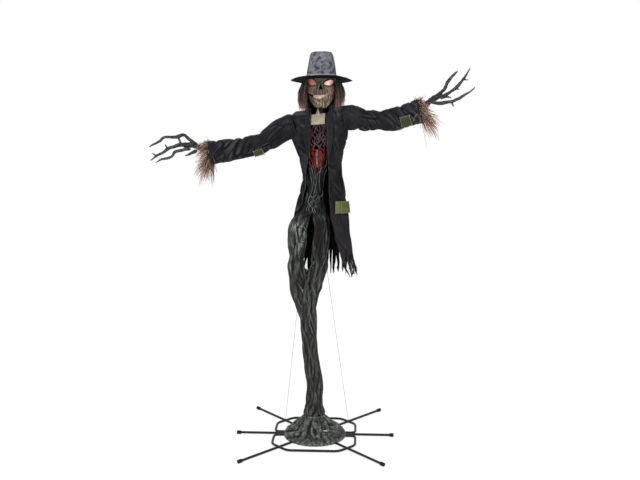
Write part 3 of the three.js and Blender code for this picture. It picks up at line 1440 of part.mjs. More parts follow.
// Lenses behind the eyes and the grin
const eyeLensLayer = headLayer(headWall + seatGap, headWall + seatGap + lensWall);
function eyeLens(shares) {
  const middle = shares.reduce(([x, z], [u, w]) => [x + u / shares.length, z + w / shares.length], [0, 0]);
  const grow = 1 + lensOverlap / (headHalfWidth * eyeHalfShare);
  const wider = shares.map(([x, z]) => [mix(middle[0], x, grow), mix(middle[1], z, grow)]);
  return largest(eyeLensLayer.intersect(faceCut(wider)));
}
add("eye_lens_right", eyeLens(rightEyeShares), glowPink);
add("eye_lens_left", eyeLens(leftEyeShares), glowPink);
// The mouth's lens is a curved strip that follows the face; a positive lift gives the room that it needs.
function mouthLens(lift) {
  const [bottom, top] = [mouthLensBottom - lift, mouthLensTop + lift];
  const heights = [bottom, (bottom + top) / 2, top];
  const rings = Array.from({ length: mouthLensSteps + 1 }, (_, i) => {
    const angle = mix(-mouthLensAngle, mouthLensAngle, i / mouthLensSteps);
    const outer = heights.map((z) => headPoint(z, angle, lift - mouthLensInset));
    const inner = heights.map((z) => headPoint(z, angle, -lift - mouthLensInset - lensWall));
    return [...outer, ...inner.reverse()];
  });
  const ahead = lift - mouthLensBack;
  return largest(loft(rings).intersect(box(-farAside, farAside, -farAside, ahead, bottom, top)));
}
add("mouth_lens", mouthLens(0), glowPink);

// Head frame: a hub on the neck shaft, a cross plate, two uprights with the jaw pins, and a brow plate
const neckMotorBottom = yokeSeatTop + seatGap;
const neckMotorTop = neckMotorBottom + neckMotorHeight;
const neckAxis = (z) => point(headX, 0, z);
const crossTop = crossPlateHeight + headPlateThickness;
const crossPlate = box(
  headX - uprightOuter, headX + uprightOuter, -neckHubRadius, uprightBack, crossPlateHeight, crossTop,
);
const uprights = [-1, 1].map((side) => {
  const outer = headX + side * uprightOuter;
  const inner = outer - side * uprightThickness;
  return box(
    Math.min(inner, outer), Math.max(inner, outer), uprightFront, uprightBack, crossPlateHeight,
    browPlateHeight + headPlateThickness,
  );
});
const pins = [
  earAxis(-jawPinEnd, -uprightOuter + uprightThickness, jawPinRadius),
  earAxis(uprightOuter - uprightThickness, jawPinEnd, jawPinRadius),
];
const browPlate = box(
  headX - headHalfWidth, headX + headHalfWidth, -headHalfWidth, headHalfWidth, browPlateHeight,
  browPlateHeight + headPlateThickness,
);
const lensBrackets = [-1, 1].map((side) => {
  const outer = headX + side * lensBracketOuter;
  const inner = headX + side * (uprightOuter - uprightThickness);
  return box(
    Math.min(inner, outer), Math.max(inner, outer), -lensBracketReach, uprightBack, lensBracketBottom,
    lensBracketBottom + lensBracketHeight,
  );
});
const headPlates = unite([crossPlate, ...uprights, ...lensBrackets, browPlate])
  .intersect(headSolid(-headWall - seatGap))
  .subtract(mouthLens(seatGap));
const neckHub = bar(neckAxis(neckMotorTop + seatGap), neckAxis(crossTop), neckHubRadius, shaftSides);
const neckBore = bar(
  neckAxis(neckMotorTop - cutOverrun), neckAxis(crossTop + cutOverrun), neckShaftRadius + runGap, shaftSides,
);
add("head_frame", largest(unite([neckHub, headPlates, ...pins]).subtract(neckBore)), greySteel);
const neckMotor = box(
  headX - neckMotorHalfWidth, headX + neckMotorHalfWidth, -neckMotorHalfDepth, neckMotorHalfDepth,
  neckMotorBottom, neckMotorTop,
);
const neckShaft = bar(neckAxis(neckMotorTop - cutOverrun), neckAxis(crossTop), neckShaftRadius, shaftSides);
add("neck_gearmotor", unite([neckMotor, neckShaft]), blackPlastic);
const jawMotorBottom = crossTop + seatGap;
const jawMotorBack = uprightBack + neckShaftRadius;
const jawMotor = box(
  headX - jawMotorHalfWidth, headX + jawMotorHalfWidth, jawMotorBack - jawMotorDepth, jawMotorBack,
  jawMotorBottom, jawMotorBottom + jawMotorHeight,
);
add("jaw_gearmotor", jawMotor, blackPlastic);

// Hat: one felt shell with a brim that is turned up in front, and a tapered crown given as
// [height share, radius share]
const crownShares = [[0, 1], [0.45, 0.9], [0.94, 0.69], [1, 0.46]];
const brimShares = [[0.04, 0], [0.5, 0.4], [1, 1]];
const [, hatSeatWidth, hatSeatDepth] = headShareAt(hatBrimHeight);
const hatSeatRadius = headHalfWidth * hatSeatWidth * (1 + headRibShare) + seatGap;
const hatCrownRadius = hatSeatRadius / Math.cos(Math.PI / hatSides) + hatWall;
function hatRing(halfWidth, halfDepth, height, droop) {
  return Array.from({ length: hatSides }, (_, i) => {
    const angle = turn((i + 0.5) / hatSides);
    const front = hatFrontRise * Math.cos(angle);
    const side = hatSideDroop * Math.sin(angle) ** 2;
    const sway = hatWall * Math.cos(hatSwayCount * angle + 1);
    const z = height + droop * (front - side - sway - hatEdgeDroop);
    return point(hatX + halfWidth * Math.sin(angle), -halfDepth * Math.cos(angle), z);
  });
}
function crownRing([heightShare, radiusShare], inset) {
  const radius = hatCrownRadius * radiusShare - inset;
  const height = mix(hatBrimHeight, hatTop - inset, heightShare);
  return hatRing(radius, (radius * hatSeatDepth) / hatSeatWidth, height, 0);
}
function brimRing([outShare, droopShare], lift) {
  const halfWidth = mix(hatCrownRadius, hatBrimHalfWidth, outShare);
  const halfDepth = mix(hatCrownRadius, hatBrimHalfDepth, outShare);
  return hatRing(halfWidth, halfDepth, hatBrimHeight + lift, droopShare);
}
const hatRings = [
  ...crownShares.map((row) => crownRing(row, hatWall)).reverse(),
  ...brimShares.map((row) => brimRing(row, -hatWall)),
  ...brimShares.map((row) => brimRing(row, 0)).reverse(),
  ...crownShares.map((row) => crownRing(row, 0)),
];
add("hat", loft(hatRings), feltGrey);

// Hair: a comb of straw strands under the brim on each side of the head
function hairSide(side) {
  const around = (angle, radius, z) =>
    point(headX + side * radius * Math.sin(angle), -radius * Math.cos(angle), z);
  const seat = headHalfWidth * headShareAt(hairBandBottom)[1] * (1 + headRibShare) + seatGap;
  const rootRadius = seat / Math.cos((hairEnd - hairStart) / hairBandSteps / 2);
  const bandRings = Array.from({ length: hairBandSteps + 1 }, (_, i) => {
    const angle = mix(hairStart, hairEnd, i / hairBandSteps);
    const inner = rootRadius;
    const outer = rootRadius + hairBandThickness;
    const top = hairBandBottom + hairBandHeight;
    return [
      around(angle, inner, hairBandBottom), around(angle, outer, hairBandBottom), around(angle, outer, top),
      around(angle, inner, top),
    ];
  });
  const radii = [hairStrandRadius, hairStrandRadius, hairStrandRadius / 2];
  const strands = [];
  for (let layer = 0; layer < hairLayerCount; layer += 1) {
    const layerShare = layer / (hairLayerCount - 1);
    for (let i = 0; i < hairStrandCount; i += 1) {
      const stagger = hairStaggerShare * (layerShare - 0.5);
      const angle = mix(hairStart, hairEnd, (i + 0.5 + stagger) / hairStrandCount);
      const uneven = hairUneven * (1 + Math.sin(i * hairStepAngle + layer));
      const bottom = hairBottom - hairFrontDrop * Math.abs(Math.cos(angle)) + uneven;
      const start = rootRadius + hairBandThickness * mix(...hairRootShares, layerShare);
      const end = mix(rootRadius + hairBandThickness, hairFlare, layerShare) + headWall;
      const bendRadius = mix(start, end, hairBendShare);
      const bendHeight = mix(hairBandBottom, bottom, hairBendDropShare);
      const path = [
        around(angle, start, hairBandBottom + hairStrandRadius),
        around(angle, bendRadius, bendHeight),
        around(angle, end, bottom),
      ];
      strands.push(new Limb({ path, radii, steps: 2, sides: strandSides, across: alongX }).solid());
    }
  }
  return unite([loft(bandRings), ...strands]);
}
add("hair_left", hairSide(1), strawBrown);
add("hair_right", hairSide(-1), strawBrown);

// Ground mound: a lobed shell with roots that run down it, notched over the base tubes
const moundShares = [[0.99, 0], [1, 0.12], [0.92, 0.3], [0.68, 0.46], [0.46, 0.68], [0.36, 1]];
function moundRing([radiusShare, heightShare], lift, sides) {
  return Array.from({ length: sides }, (_, i) => {
    const angle = turn((i + 0.5) / sides);
    const root = Math.sin(moundRootCount * angle + 2 * heightShare) * (lift < 0 ? 0 : 1);
    const lobe = 1 + moundRootShare * root * radiusShare + moundLobeShare * Math.cos(2 * angle + 1);
    const radius = moundRadius * radiusShare * lobe + lift;
    const ridge = moundRootDepth * (1 + root) * heightShare * (1 - heightShare) * 2;
    const raised = heightShare ? lift : lift * cutOverrun;
    const height = mix(moundFloorGap, moundHeight, heightShare) + ridge + raised;
    const middle = (mastX * heightShare) / 2;
    return point(middle + radius * Math.cos(angle), radius * Math.sin(angle), height);
  });
}
const moundSolid = (lift, sides) => loft(moundShares.map((row) => moundRing(row, lift, sides)));

// A straight slot in plan, from the middle outwards, between two heights
function planSlot(direction, from, to, halfWidth, offset, bottom, top) {
  const aside = point(-direction.y, direction.x, 0);
  const corner = (distance, share) => {
    const place = lifted(lifted(point(0, 0, 0), direction, distance), aside, offset + share * halfWidth);
    return [place.x, place.y];
  };
  return planPrism([corner(from, -1), corner(to, -1), corner(to, 1), corner(from, 1)], bottom, top);
}
const slotHalf = tubeRadius + moundSlotClearance;
const slotTop = tubeTop + moundSlotClearance;
const slotDirections = [-1, 1].flatMap((side) => [
  [point(side, 0, 0), ringEndSpacing + slotHalf],
  [cornerDirection(side, -1), slotHalf],
  [cornerDirection(side, 1), slotHalf],
]);
const tubeSlots = slotDirections.map(([direction, halfWidth]) =>
  planSlot(direction, moundRadius / 2, moundRadius + moundRadius, halfWidth, 0, -cutOverrun, slotTop),
);
const aboveFloor = slice(moundFloorGap, moundHeight + moundRootDepth).intersect(
  bar(point(0, 0, 0), point(0, 0, moundHeight + moundRootDepth), farAside + cutOverrun, shaftSides * 2),
);
const trunkHole = trunk.solid(runGap).intersect(slice(trunkBottom - runGap, mastJoint));
const boxBottom = hubTopTop + seatGap;
const boxTop = boxBottom + boxHeight;
const boxRoom = box(
  -boxHalfWidth - runGap, boxHalfWidth + runGap, boxFront - runGap, farAside + cutOverrun, 0, boxTop + runGap,
);
const sensorRoom = (gap) =>
  box(
    sensorX - sensorHalfWidth - gap, sensorX + sensorHalfWidth + gap, sensorY - gap,
    sensorY + sensorDepth + gap, sensorZ - sensorHalfHeight - gap, sensorZ + sensorHalfHeight + gap,
  );
const trunkFoot = trunk.ring(0, runGap);
const trunkFootRoom = loft([trunkFoot, trunkFoot.map((corner) => lifted(corner, alongZ, moundHeight))]);
const moundInside = moundSolid(-moundWall, moundLiningSides);
const mound = [moundInside, ...tubeSlots, boxRoom, sensorRoom(seatGap), trunkFootRoom].reduce(
  (shell, cut) => shell.subtract(cut),
  moundSolid(0, moundSides).intersect(aboveFloor),
);
add("ground_mound", largest(mound.subtract(trunkHole)), darkRoot);
add("motion_sensor", sensorRoom(0), blackPlastic);

// Control box with its speaker slots, power inlet and mode button
const boxFaceHeight = boxBottom + boxHeight / 2;
const speakerSlots = Array.from({ length: speakerSlotCount }, (_, i) => {
  const x = speakerX + (i - (speakerSlotCount - 1) / 2) * speakerSlotPitch;
  return box(
    x - speakerSlotWidth / 2, x + speakerSlotWidth / 2, boxBack - speakerSlotDepth, boxBack + cutOverrun,
    boxFaceHeight - speakerSlotHeight / 2, boxFaceHeight + speakerSlotHeight / 2,
  );
});
const faceBore = (x, radius, depth) => {
  const bottom = point(x, boxBack - depth, boxFaceHeight);
  return bar(bottom, point(x, boxBack + cutOverrun, boxFaceHeight), radius, shaftSides);
};
const buttonWell = buttonLength - buttonProud + buttonTravel + seatGap;
const controlBox = box(-boxHalfWidth, boxHalfWidth, boxFront, boxBack, boxBottom, boxTop)
  .subtract(unite(speakerSlots))
  .subtract(faceBore(inletX, inletRadius, inletDepth))
  .subtract(faceBore(buttonX, buttonRadius + seatGap, buttonWell));
add("control_box", controlBox, blackPlastic);
const buttonFront = boxBack + buttonProud - buttonLength;
add(
  "mode_button",
  bar(
    point(buttonX, buttonFront, boxFaceHeight), point(buttonX, buttonFront + buttonLength, boxFaceHeight),
    buttonRadius, shaftSides,
  ),
  softRubber,
);

export default figure;
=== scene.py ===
import json
import math

import bpy
import numpy as np
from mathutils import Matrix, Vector, noise


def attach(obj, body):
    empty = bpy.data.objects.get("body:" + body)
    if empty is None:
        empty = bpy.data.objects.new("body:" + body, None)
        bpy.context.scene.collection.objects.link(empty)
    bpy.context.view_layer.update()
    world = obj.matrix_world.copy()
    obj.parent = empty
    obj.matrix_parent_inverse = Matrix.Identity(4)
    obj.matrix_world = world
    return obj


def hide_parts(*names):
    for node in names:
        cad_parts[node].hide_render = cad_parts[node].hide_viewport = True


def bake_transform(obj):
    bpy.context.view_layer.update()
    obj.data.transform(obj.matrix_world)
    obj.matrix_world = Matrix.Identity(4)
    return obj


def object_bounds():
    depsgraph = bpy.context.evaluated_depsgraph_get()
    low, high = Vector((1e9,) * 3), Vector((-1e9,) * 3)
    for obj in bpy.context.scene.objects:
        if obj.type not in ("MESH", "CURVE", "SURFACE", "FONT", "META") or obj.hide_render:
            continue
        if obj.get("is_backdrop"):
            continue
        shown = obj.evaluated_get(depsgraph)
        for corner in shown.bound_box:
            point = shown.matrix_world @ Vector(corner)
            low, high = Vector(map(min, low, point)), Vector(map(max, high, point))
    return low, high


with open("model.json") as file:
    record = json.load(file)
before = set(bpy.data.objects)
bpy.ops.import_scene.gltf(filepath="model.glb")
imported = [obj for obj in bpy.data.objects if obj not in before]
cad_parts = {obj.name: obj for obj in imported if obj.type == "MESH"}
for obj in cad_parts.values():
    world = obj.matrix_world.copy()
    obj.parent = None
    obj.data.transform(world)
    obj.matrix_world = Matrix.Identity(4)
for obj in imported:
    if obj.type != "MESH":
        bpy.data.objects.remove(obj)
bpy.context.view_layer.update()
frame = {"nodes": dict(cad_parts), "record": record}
nodes = frame["nodes"]
slots = {row["node"]: row["material_slot"] for row in frame["record"]["subparts"]}
scene = bpy.context.scene
scene.view_settings.view_transform = "Standard"
print("frame loaded:", len(nodes), "nodes")

view = {"place": (0.277, -4.992, 2.0), "tilt": 81.85, "pan": 2.8, "lens": 45.2, "sensor": 36}

camera = bpy.data.objects.new("camera", bpy.data.cameras.new("camera"))
scene.collection.objects.link(camera)
camera.location = view["place"]
camera.rotation_euler = (math.radians(view["tilt"]), 0, math.radians(view["pan"]))
camera.data.lens = view["lens"]
camera.data.sensor_width = view["sensor"]
scene.camera = camera


# lines, rings and meshes
steps = 200
tiny = 1e-9


def lineThrough(rows, count):
    # a smooth line through the rows; every column is carried along
    rows = np.asarray(rows, float)
    ends = np.vstack([2 * rows[0] - rows[1], rows, 2 * rows[-1] - rows[-2]])
    place = np.linspace(0, len(rows) - 1, count)
    step = np.minimum(place.astype(int), len(rows) - 2)
    u = (place - step)[:, None]
    a, b, c, d = (ends[step + k] for k in range(4))
    squared, cubed = 2 * a - 5 * b + 4 * c - d, 3 * b - a - 3 * c + d
    return 0.5 * (2 * b + (c - a) * u + squared * u**2 + cubed * u**3)


def unit(vectors):
    return vectors / np.maximum(np.linalg.norm(vectors, axis=1, keepdims=True), tiny)


def directions(line):
    return unit(np.gradient(line, axis=0))


def sideways(line, across):
    # two unit vectors square to the line, the first as near to across as it can be
    ahead, across = directions(line), np.asarray(across, float)
    one = unit(across - ahead * (ahead @ across)[:, None])
    return one, np.cross(ahead, one)


def tubeAround(line, radii, sides, across=(1, 0, 0), flat=1.0, capped=True):
    # points and faces of a tube with closed ends
    one, two = sideways(line, across)
    angle = np.linspace(0, 2 * math.pi, sides, endpoint=False)[None, :, None]
    ring = one[:, None] * np.cos(angle) + flat * two[:, None] * np.sin(angle)
    points = (line[:, None] + ring * np.asarray(radii)[:, None, None]).reshape(-1, 3)
    faces = gridFaces(len(line), sides)
    if capped:
        first, last = len(points), len(points) + 1
        points = np.vstack([points, line[0], line[-1]])
        top = (len(line) - 1) * sides
        faces += [(first, (c + 1) % sides, c) for c in range(sides)]
        faces += [(last, top + c, top + (c + 1) % sides) for c in range(sides)]
    return points, faces


def gridFaces(rows, columns, around=True):
    faces = []
    for r in range(rows - 1):
        for c in range(columns if around else columns - 1):
            d, low, high = (c + 1) % columns, r * columns, (r + 1) * columns
            faces.append((low + c, low + d, high + d, high + c))
    return faces


def together(parts):
    points, faces, start = [], [], 0
    for p, f in parts:
        points.append(p)
        faces += [tuple(i + start for i in face) for face in f]
        start += len(p)
    return np.vstack(points), faces


def newPiece(name, points, faces, smooth=True):
    mesh = bpy.data.meshes.new(name)
    mesh.from_pydata([tuple(p) for p in points], [], [tuple(int(i) for i in f) for f in faces])
    mesh.validate()
    mesh.polygons.foreach_set("use_smooth", [smooth] * len(mesh.polygons))
    piece = bpy.data.objects.new(name, mesh)
    scene.collection.objects.link(piece)
    return piece


def read(items, title, width, kind=float):
    found = np.zeros(len(items) * width, kind)
    items.foreach_get(title, found)
    return found.reshape(-1, width)


def places(piece):
    return read(piece.data.vertices, "co", 3)


def moveTo(piece, points):
    piece.data.vertices.foreach_set("co", np.asarray(points, float).ravel())
    piece.data.update()


def normals(piece):
    return read(piece.data.vertex_normals, "vector", 3)


def giveValues(piece, name, values):
    # one number for each point, that a material or a tree can read
    attribute = piece.data.attributes.get(name) or piece.data.attributes.new(name, "FLOAT", "POINT")
    attribute.data.foreach_set("value", np.asarray(values, np.float32))


def settled(piece):
    # the piece with its modifiers in its mesh
    bpy.context.view_layer.update()
    done = bpy.data.meshes.new_from_object(piece.evaluated_get(bpy.context.evaluated_depsgraph_get()))
    piece.modifiers.clear()
    piece.data = done
    return piece


def thickened(piece, thickness, offset=-1.0, lining=0):
    wall = piece.modifiers.new("wall", "SOLIDIFY")
    wall.thickness = thickness
    wall.offset = offset
    wall.material_offset = lining
    wall.material_offset_rim = 0
    return settled(piece)


def grown(piece, size):
    # one skin round everything in the piece, as roots that have grown together
    skin = piece.modifiers.new("skin", "REMESH")
    skin.mode = "VOXEL"
    skin.voxel_size = size
    skin.use_smooth_shade = True
    return settled(piece)


def eased(points, edges, rounds, share=0.5):
    # the points after some rounds of moving each towards its neighbours' middle
    (a, b), count = edges.T, len(points)
    many = np.maximum(np.bincount(a, minlength=count) + np.bincount(b, minlength=count), 1)[:, None]
    for _ in range(rounds):
        total = np.zeros_like(points)
        for k in range(3):
            total[:, k] = np.bincount(a, points[b, k], count) + np.bincount(b, points[a, k], count)
        points = points + share * (total / many - points)
    return points


def edgesOf(piece):
    return read(piece.data.edges, "vertices", 2, int)


def squareTo(line, across, angle):
    # unit vectors square to the line, turned by the angle at each of its points
    one, two = sideways(line, across)
    return one * np.cos(angle)[:, None] + two * np.sin(angle)[:, None]


def columnsAt(place, table):
    # the table's columns at places between its rows
    return [np.interp(place, range(len(table)), column) for column in np.asarray(table).T]


def markRidges(piece, rounds, full):
    # ridge is 0 in a groove, 0.5 on level skin and 1 on a crest that stands full above it
    points = places(piece)
    height = ((points - eased(points, edgesOf(piece), rounds)) * normals(piece)).sum(axis=1)
    giveValues(piece, "ridge", np.clip(0.5 + 0.5 * height / full, 0, 1))


def noiseAt(points, scale, seed=0.0):
    scaled = points * np.asarray(scale, float) + seed
    return np.array([noise.noise(Vector(p)) for p in scaled])


# finishes
finishes = {}


def nodeIn(tree, kind, values=(), **settings):
    node = tree.nodes.new(kind)
    for key, value in settings.items():
        setattr(node, key, value)
    for key, value in dict(values).items():
        if isinstance(value, bpy.types.NodeSocket):
            tree.links.new(value, node.inputs[key])
        else:
            node.inputs[key].default_value = value
    return node


def blended(tree, factor, first, second, mode="MIX"):
    node = nodeIn(tree, "ShaderNodeMix", data_type="RGBA", blend_type=mode)
    for place, value in ((0, factor), (6, first), (7, second)):
        if isinstance(value, bpy.types.NodeSocket):
            tree.links.new(value, node.inputs[place])
        else:
            node.inputs[place].default_value = value if place == 0 else (*value, 1)[:4]
    return node.outputs[2]


def sumOf(tree, operation, *values):
    return nodeIn(tree, "ShaderNodeMath", enumerate(values), operation=operation).outputs[0]


def spread(tree, value, low, high, start=0.0, end=1.0):
    keys = {"Value": value, "From Min": low, "From Max": high, "To Min": start, "To Max": end}
    return nodeIn(tree, "ShaderNodeMapRange", keys, interpolation_type="SMOOTHSTEP").outputs[0]


def newGroup(name, inputs, outputs):
    group = bpy.data.node_groups.new(name, "ShaderNodeTree")
    for title, value in inputs.items():
        socket = group.interface.new_socket(title, in_out="INPUT", socket_type="NodeSocketFloat")
        socket.default_value = value
    for title in outputs:
        group.interface.new_socket(title, in_out="OUTPUT", socket_type="NodeSocketFloat")
    return group, nodeIn(group, "NodeGroupInput").outputs, nodeIn(group, "NodeGroupOutput").inputs


def whereIn(tree, kind="Object"):
    return nodeIn(tree, "ShaderNodeTexCoord").outputs[kind]


def cloudsIn(tree, where, scale, detail, **more):
    keys = {"Vector": where, "Scale": scale, "Detail": detail, **more}
    return nodeIn(tree, "ShaderNodeTexNoise", keys).outputs[0]


def stretchedPlace(tree, scale, along):
    # object coordinates, larger along the height by the share along
    parts = nodeIn(tree, "ShaderNodeSeparateXYZ", {0: whereIn(tree)}).outputs
    wide = sumOf(tree, "MULTIPLY", scale, 1.0)
    high = sumOf(tree, "MULTIPLY", scale, along)
    scaled = [sumOf(tree, "MULTIPLY", parts[i], high if i == 2 else wide) for i in range(3)]
    return nodeIn(tree, "ShaderNodeCombineXYZ", enumerate(scaled)).outputs[0]


def makeBarkGrain():
    # long fibres and pits of moulded bark
    group, given, out = newGroup("barkGrain", {"Scale": 60, "Along": 0.2}, ("Fibre", "Pits", "Height"))
    where = stretchedPlace(group, given["Scale"], given["Along"])
    fibre = cloudsIn(group, where, 1, 5, Distortion=0.6)
    keys = {"Vector": where, "Scale": 1.7}
    pits = nodeIn(group, "ShaderNodeTexVoronoi", keys, feature="SMOOTH_F1").outputs[0]
    group.links.new(spread(group, fibre, 0.3, 0.7), out["Fibre"])
    group.links.new(spread(group, pits, 0.1, 0.6), out["Pits"])
    group.links.new(sumOf(group, "ADD", fibre, sumOf(group, "MULTIPLY", pits, 0.4)), out["Height"])
    return group


def makeWeave():
    # crossing threads on the piece's own map, in metres, and the cloth's worn places
    inputs = {"Threads": 900, "Wear scale": 9}
    group, given, out = newGroup("weave", inputs, ("Thread", "Worn", "Slub"))
    sheetMap = whereIn(group, "UV")
    parts = nodeIn(group, "ShaderNodeSeparateXYZ", {0: sheetMap}).outputs
    turns = [sumOf(group, "MULTIPLY", parts[i], given["Threads"]) for i in range(2)]
    waves = [sumOf(group, "SINE", sumOf(group, "MULTIPLY", turn, 2 * math.pi)) for turn in turns]
    group.links.new(spread(group, sumOf(group, "MULTIPLY", *waves), -1, 1), out["Thread"])
    worn = cloudsIn(group, whereIn(group), given["Wear scale"], 6, Roughness=0.62)
    group.links.new(spread(group, worn, 0.42, 0.72), out["Worn"])
    group.links.new(cloudsIn(group, sheetMap, 160, 3), out["Slub"])
    return group


def makeMottle():
    # soft clouds
    group, given, out = newGroup("mottle", {"Scale": 20, "Low": 0.4, "High": 0.65}, ("Mask",))
    clouds = cloudsIn(group, whereIn(group), given["Scale"], 6, Roughness=0.6)
    group.links.new(spread(group, clouds, given["Low"], given["High"]), out["Mask"])
    return group


barkGrain, weave, mottle = makeBarkGrain(), makeWeave(), makeMottle()


def grouped(tree, group, **values):
    node = nodeIn(tree, "ShaderNodeGroup", node_tree=group)
    for key, value in values.items():
        node.inputs[key.replace("_", " ")].default_value = value
    return node.outputs


def newFinish(name, roughness=0.7, **constants):
    # the material's tree and shader; the name joins the finishes
    material = finishes[name] = bpy.data.materials.new(name)
    material.use_nodes = True
    shader = material.node_tree.nodes["Principled BSDF"]
    shader.inputs["Roughness"].default_value = roughness
    for key, value in constants.items():
        shader.inputs[key.replace("_", " ")].default_value = value
    return material.node_tree, shader


def bumped(tree, shader, height, strength, distance):
    keys = {"Height": height, "Strength": strength, "Distance": distance}
    tree.links.new(nodeIn(tree, "ShaderNodeBump", keys).outputs[0], shader.inputs["Normal"])


def valueOf(tree, name):
    return nodeIn(tree, "ShaderNodeAttribute", attribute_name=name).outputs["Fac"]


def maskOf(tree, scale, low, high):
    return grouped(tree, mottle, Scale=scale, Low=low, High=high)["Mask"]


def barkFinish(name, groove, body, crest, scale=70, along=0.18, moss=None, paleBody=None, paleCrest=None):
    # dark grooves, a body colour and crests, by the ridge that each point carries
    tree, shader = newFinish(name, 0.72, Specular_IOR_Level=0.22)
    if paleBody:
        body = blended(tree, valueOf(tree, "pale"), body, paleBody)
        crest = blended(tree, valueOf(tree, "pale"), crest, paleCrest)
    grain = grouped(tree, barkGrain, Scale=scale, Along=along)
    fibre = sumOf(tree, "MULTIPLY", sumOf(tree, "SUBTRACT", grain["Fibre"], 0.5), 0.34)
    ridge = sumOf(tree, "ADD", valueOf(tree, "ridge"), fibre)
    low = blended(tree, spread(tree, ridge, 0.3, 0.58), groove, body)
    colour = blended(tree, spread(tree, ridge, 0.52, 0.92), low, crest)
    if moss:
        colour = blended(tree, sumOf(tree, "MULTIPLY", maskOf(tree, 9, 0.45, 0.62), 0.5), colour, moss)
    colour = blended(tree, valueOf(tree, "shade"), colour, groove)
    tree.links.new(colour, shader.inputs["Base Color"])
    tree.links.new(spread(tree, grain["Pits"], 0, 1, 0.6, 0.85), shader.inputs["Roughness"])
    bumped(tree, shader, grain["Height"], 0.6, 0.003)


def clothFinish(name, base, worn, threads=900, wearScale=9, wearShare=0.6, bump=0.0006, stain=None):
    # woven cloth, worn in places, with painted highlights on the crests of its folds
    values = {"Sheen_Weight": 0.03, "Sheen_Roughness": 0.5, "Specular_IOR_Level": 0.08}
    tree, shader = newFinish(name, 0.88, **values)
    cloth = grouped(tree, weave, Threads=threads, Wear_scale=wearScale)
    # painted highlight: fold crests take the pale worn colour, as if lit
    folds = spread(tree, valueOf(tree, "ridge"), 0.5, 0.92, 0, 0.75)
    wearAndFoldHighlight = sumOf(tree, "MAXIMUM", sumOf(tree, "MULTIPLY", cloth["Worn"], wearShare), folds)
    faded = blended(tree, wearAndFoldHighlight, base, worn)
    if stain:
        faded = blended(tree, valueOf(tree, "stain"), faded, stain)
    dark = [0.55 * c for c in base]
    colour = blended(tree, sumOf(tree, "MULTIPLY", cloth["Thread"], 0.35), faded, dark)
    tree.links.new(colour, shader.inputs["Base Color"])
    bumped(tree, shader, sumOf(tree, "ADD", cloth["Thread"], cloth["Slub"]), 0.5, bump)


def strandFinish(name, root, middle, tip, roughness=0.75, rise=0.4):
    # colour runs from root to tip, and each strand has a tone of its own
    tree, shader = newFinish(name, roughness)
    along, tone = valueOf(tree, "along"), valueOf(tree, "tone")
    colour = blended(tree, spread(tree, along, rise - 0.3, rise + 0.15), root, middle)
    colour = blended(tree, spread(tree, along, rise + 0.1, 1), colour, tip)
    lit = sumOf(tree, "MULTIPLY", spread(tree, tone, 0.3, 1, 0, 0.8), along)
    pale = blended(tree, lit, colour, [1.8 * c for c in tip])
    shade = blended(tree, spread(tree, tone, 0.55, 0, 0, 0.85), pale, [0.5 * c for c in root])
    tree.links.new(shade, shader.inputs["Base Color"])
    grain = grouped(tree, barkGrain, Scale=700, Along=0.05)
    bumped(tree, shader, grain["Height"], 0.4, 0.0006)


def plainFinish(name, base, mark, roughness=0.5, scale=60, metallic=0.0, bump=0.0004, fine=400,
                band=None, gloss=0.5):
    # one colour with marks of another; band is painted on where the points say so
    tree, shader = newFinish(name, roughness, Metallic=metallic, Specular_IOR_Level=gloss)
    low, high, most = (0.34, 0.62, 0.95) if band else (0.45, 0.7, 0.6)
    clouds, grains = maskOf(tree, scale, low, high), maskOf(tree, fine, 0.3, 0.7)
    colour = blended(tree, sumOf(tree, "MULTIPLY", clouds, most), base, mark)
    if band:
        colour = blended(tree, valueOf(tree, "band"), colour, band)
    tree.links.new(colour, shader.inputs["Base Color"])
    tree.links.new(spread(tree, grains, 0, 1, roughness - 0.08, roughness + 0.1), shader.inputs["Roughness"])
    bumped(tree, shader, grains, 0.35, bump)


def glowFinish(name, base, light, strength, scale=50):
    # a lit lens with darker and brighter clouds
    tree, shader = newFinish(name, 0.35, Emission_Strength=strength)
    clouds = maskOf(tree, scale, 0.3, 0.7)
    tree.links.new(blended(tree, clouds, base, light), shader.inputs["Base Color"])
    tree.links.new(blended(tree, clouds, light, [0.7 * c for c in light]), shader.inputs["Emission Color"])


barkFinish("rootBark", (0.0025, 0.003, 0.0025), (0.012, 0.0125, 0.01), (0.06, 0.06, 0.05),
           moss=(0.02, 0.018, 0.01), paleBody=(0.06, 0.072, 0.066), paleCrest=(0.3, 0.345, 0.315))
barkFinish("waistBark", (0.003, 0.004, 0.004), (0.04, 0.046, 0.045), (0.17, 0.19, 0.18), 120)
# painted shade: near-black bark for the shell, standing for the shade inside the hollow chest
barkFinish("hollowShadeBark", (0.002, 0.002, 0.002), (0.005, 0.005, 0.006), (0.012, 0.012, 0.013))
barkFinish("vinePurple", (0.004, 0.002, 0.003), (0.036, 0.016, 0.022), (0.2, 0.12, 0.135), 140)
# painted light: these vines carry the red lamp's glow in their colour
barkFinish("vineRedLampLit", (0.005, 0.0005, 0.0005), (0.055, 0.003, 0.002), (0.32, 0.03, 0.022), 140)
